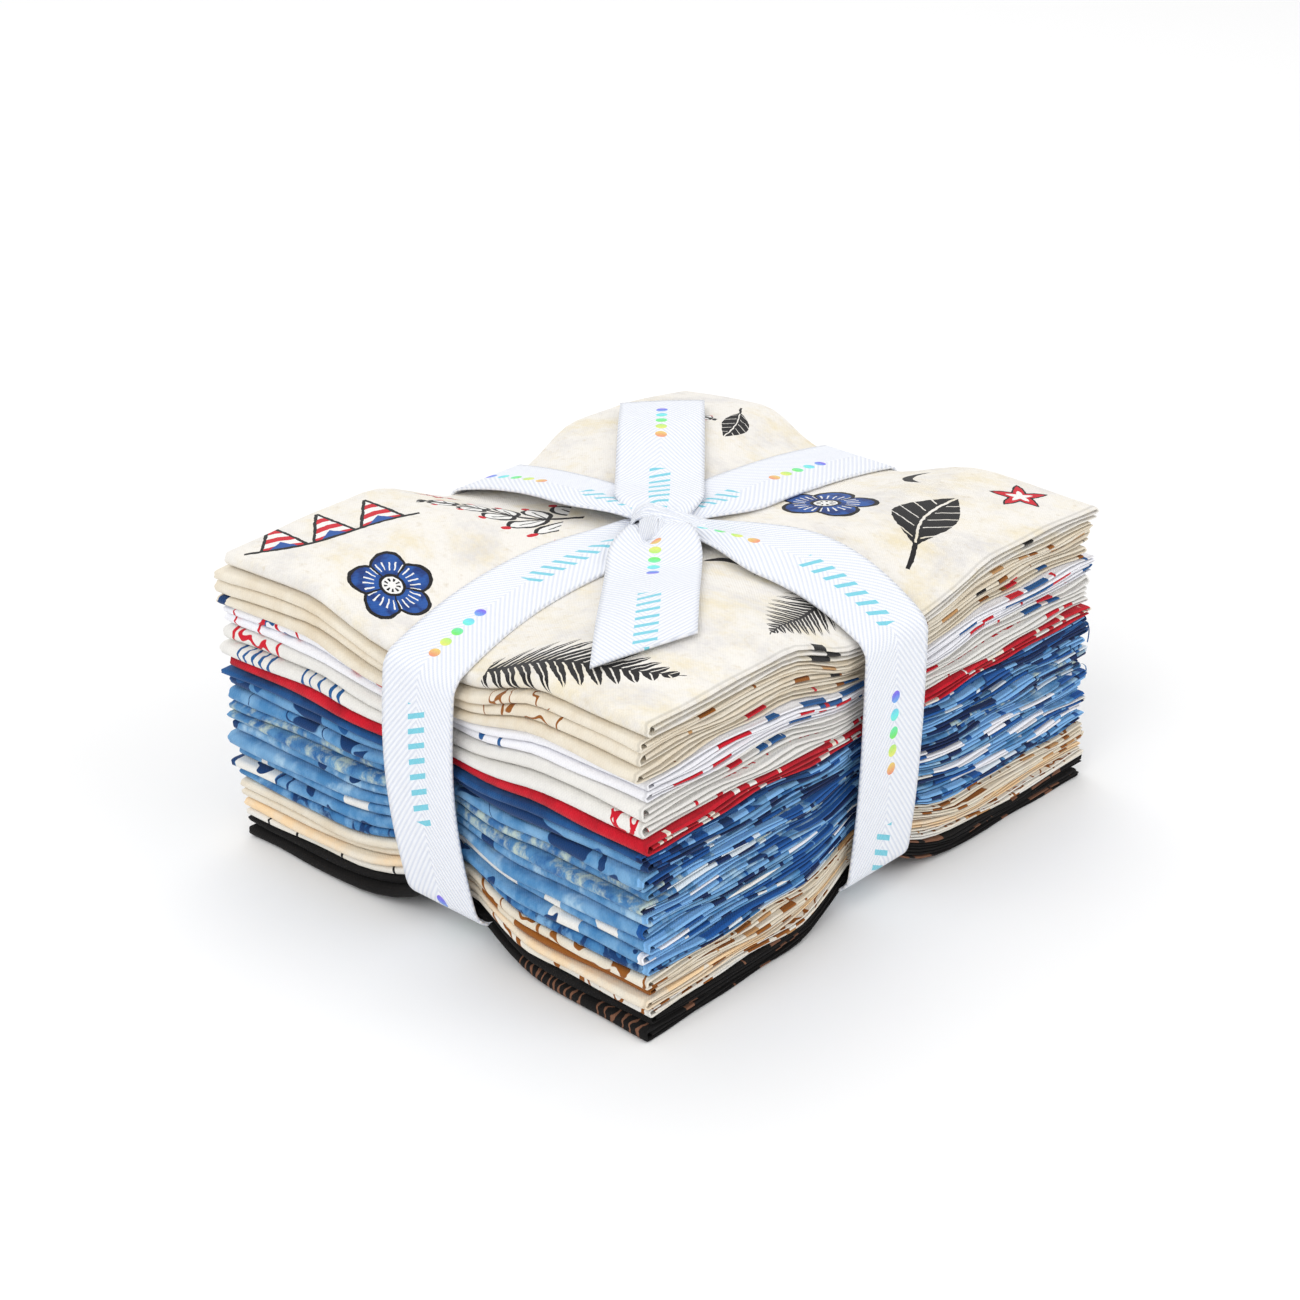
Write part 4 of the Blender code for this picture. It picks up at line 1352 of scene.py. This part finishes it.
    def wrap_mesh(self) -> bpy.types.Mesh:
        """The gathered turn over the knot, which comes out as the arm at -Y."""
        part = np.linspace(0, 1, 41)
        left, right = self.knot_place(*self.wrap_left), self.knot_place(*self.wrap_right)
        bend = 2 * self.knot_place(self.tails[0].heading, self.wrap_ahead) - (left + right) / 2
        share = part[:, None]
        plan = (1 - share) ** 2 * left + 2 * share * (1 - share) * bend + share**2 * right
        high = np.interp(part, *zip(*self.wrap_heights))
        for _ in range(self.knot_smoothings):
            high[1:-1] = (high[:-2] + 2 * high[1:-1] + high[2:]) / 4
        middle = np.column_stack([plan, self.knot_floor + high])
        width, dome = (np.interp(part, *zip(*pairs)) for pairs in (self.wrap_widths, self.wrap_domes))
        return self.band_mesh(middle, width, dome, self.wrap_troughs)

    def roll_mesh(self) -> bpy.types.Mesh:
        """The small roll in front of the knot, where the turn is tucked into the hollow."""
        turn = np.linspace(*np.radians(self.roll_turn), 25)
        heading = self.tails[0].heading
        plan = np.array([self.knot_place(heading, self.roll_reach * (1 + math.cos(angle)), self.roll_aside)
                         for angle in turn])
        middle = np.column_stack([plan, self.knot_floor + self.roll_foot + self.roll_height * np.sin(turn)])
        even = np.ones(len(turn))
        return self.band_mesh(middle, self.roll_width * even, self.roll_dome * even, self.roll_troughs)

    def build(self) -> bpy.types.Object:
        meshes = [
            self.turn_mesh(Axis.LONG, 0.0),
            self.turn_mesh(Axis.SHORT, self.layer_step),
            self.wrap_mesh(),
            self.roll_mesh(),
            *(self.tail_mesh(tail) for tail in self.tails),
        ]
        piece = add_piece("twill_ribbon", join_meshes("twill_ribbon", meshes), self.finish.material())
        thick = piece.modifiers.new("thickness", "SOLIDIFY")
        thick.thickness = self.thickness * MM
        thick.offset = 0
        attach(piece, ROOT)
        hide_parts("ribbon")
        return piece


@dataclass(frozen=True)
class Lamp:
    """A soft square lamp that faces the bundle, in metres and watts."""

    name: str
    place: tuple[float, float, float]
    size: float
    power: float

    def hang(self) -> None:
        """Put the lamp in its place."""
        light = bpy.data.lights.new(self.name, "AREA")
        light.size = self.size
        light.energy = self.power
        holder = bpy.data.objects.new(self.name, light)
        holder.location = self.place
        to_bundle = Vector((0, 0, 0.04)) - Vector(self.place)
        holder.rotation_euler = to_bundle.to_track_quat("-Z", "Y").to_euler()
        bpy.context.scene.collection.objects.link(holder)


@dataclass
class Studio:
    """The camera at the photo's angle, a pale floor and soft light, in metres and degrees."""

    azimuth: float = -47.56
    elevation: float = 25.81
    distance: float = 0.7485
    lens: float = 74.35
    aim_height: float = 0.040
    aim_right: float = -0.00537
    aim_up: float = 0.00727
    floor_half: float = 6.0
    floor_shade: float = 0.93
    sky_light: float = 0.72
    lamps: tuple[Lamp, ...] = (
        Lamp("lamp_left", (-1.3, -0.2, 1.3), 1.2, 11.0),
        Lamp("lamp_right", (0.5, -1.4, 1.0), 1.2, 7.0),
        Lamp("lamp_back", (0.6, 0.9, 1.5), 1.4, 8.0),
    )

    def camera(self) -> None:
        """Place the camera."""
        turn, rise = math.radians(self.azimuth), math.radians(self.elevation)
        back = Vector((math.sin(turn) * math.cos(rise), -math.cos(turn) * math.cos(rise), math.sin(rise)))
        right = (-back).cross(Vector((0, 0, 1))).normalized()
        up = right.cross(-back)
        aim = Vector((0, 0, self.aim_height)) + right * self.aim_right + up * self.aim_up
        lens = bpy.data.cameras.new("camera")
        lens.lens = self.lens
        lens.clip_start = 0.01
        camera = bpy.data.objects.new("camera", lens)
        camera.location = aim + back * self.distance
        camera.rotation_euler = (-back).to_track_quat("-Z", "Y").to_euler()
        bpy.context.scene.collection.objects.link(camera)
        bpy.context.scene.camera = camera

    def floor(self) -> None:
        """Lay the plain pale floor."""
        half = self.floor_half
        mesh = bpy.data.meshes.new("floor")
        corners = [(-half, -half, 0), (half, -half, 0), (half, half, 0), (-half, half, 0)]
        mesh.from_pydata(corners, [], [(0, 1, 2, 3)])
        material = bpy.data.materials.new("pale_floor")
        material.use_nodes = True
        shader = material.node_tree.nodes["Principled BSDF"]
        shader.inputs["Base Color"].default_value = (*[self.floor_shade] * 3, 1)
        shader.inputs["Roughness"].default_value = 0.9
        add_piece("floor", mesh, material)

    def build(self) -> None:
        """Set up the camera, the floor and the lights."""
        self.camera()
        self.floor()
        world = bpy.data.worlds.new("studio")
        world.use_nodes = True
        sky = world.node_tree.nodes["Background"]
        sky.inputs["Color"].default_value = (1, 1, 1, 1)
        sky.inputs["Strength"].default_value = self.sky_light
        bpy.context.scene.world = world
        bpy.context.scene.view_settings.view_transform = "Standard"
        for lamp in self.lamps:
            lamp.hang()


def main() -> None:
    """Build the bundle from the floor up."""
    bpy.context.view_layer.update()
    Studio().build()
    stack = TiedStack()
    base, under = 0.0, ""
    for cotton in reversed(COTTONS):
        piece = cotton.build(stack, base, under)
        base += cotton.pitch
        under = piece.name
        log.info("%s: %d faces", piece.name, len(piece.data.polygons))
    ribbon = TwillRibbon(stack).build()
    log.info("%s: %d faces", ribbon.name, len(ribbon.data.polygons))


if __name__ == "__main__":
    main()
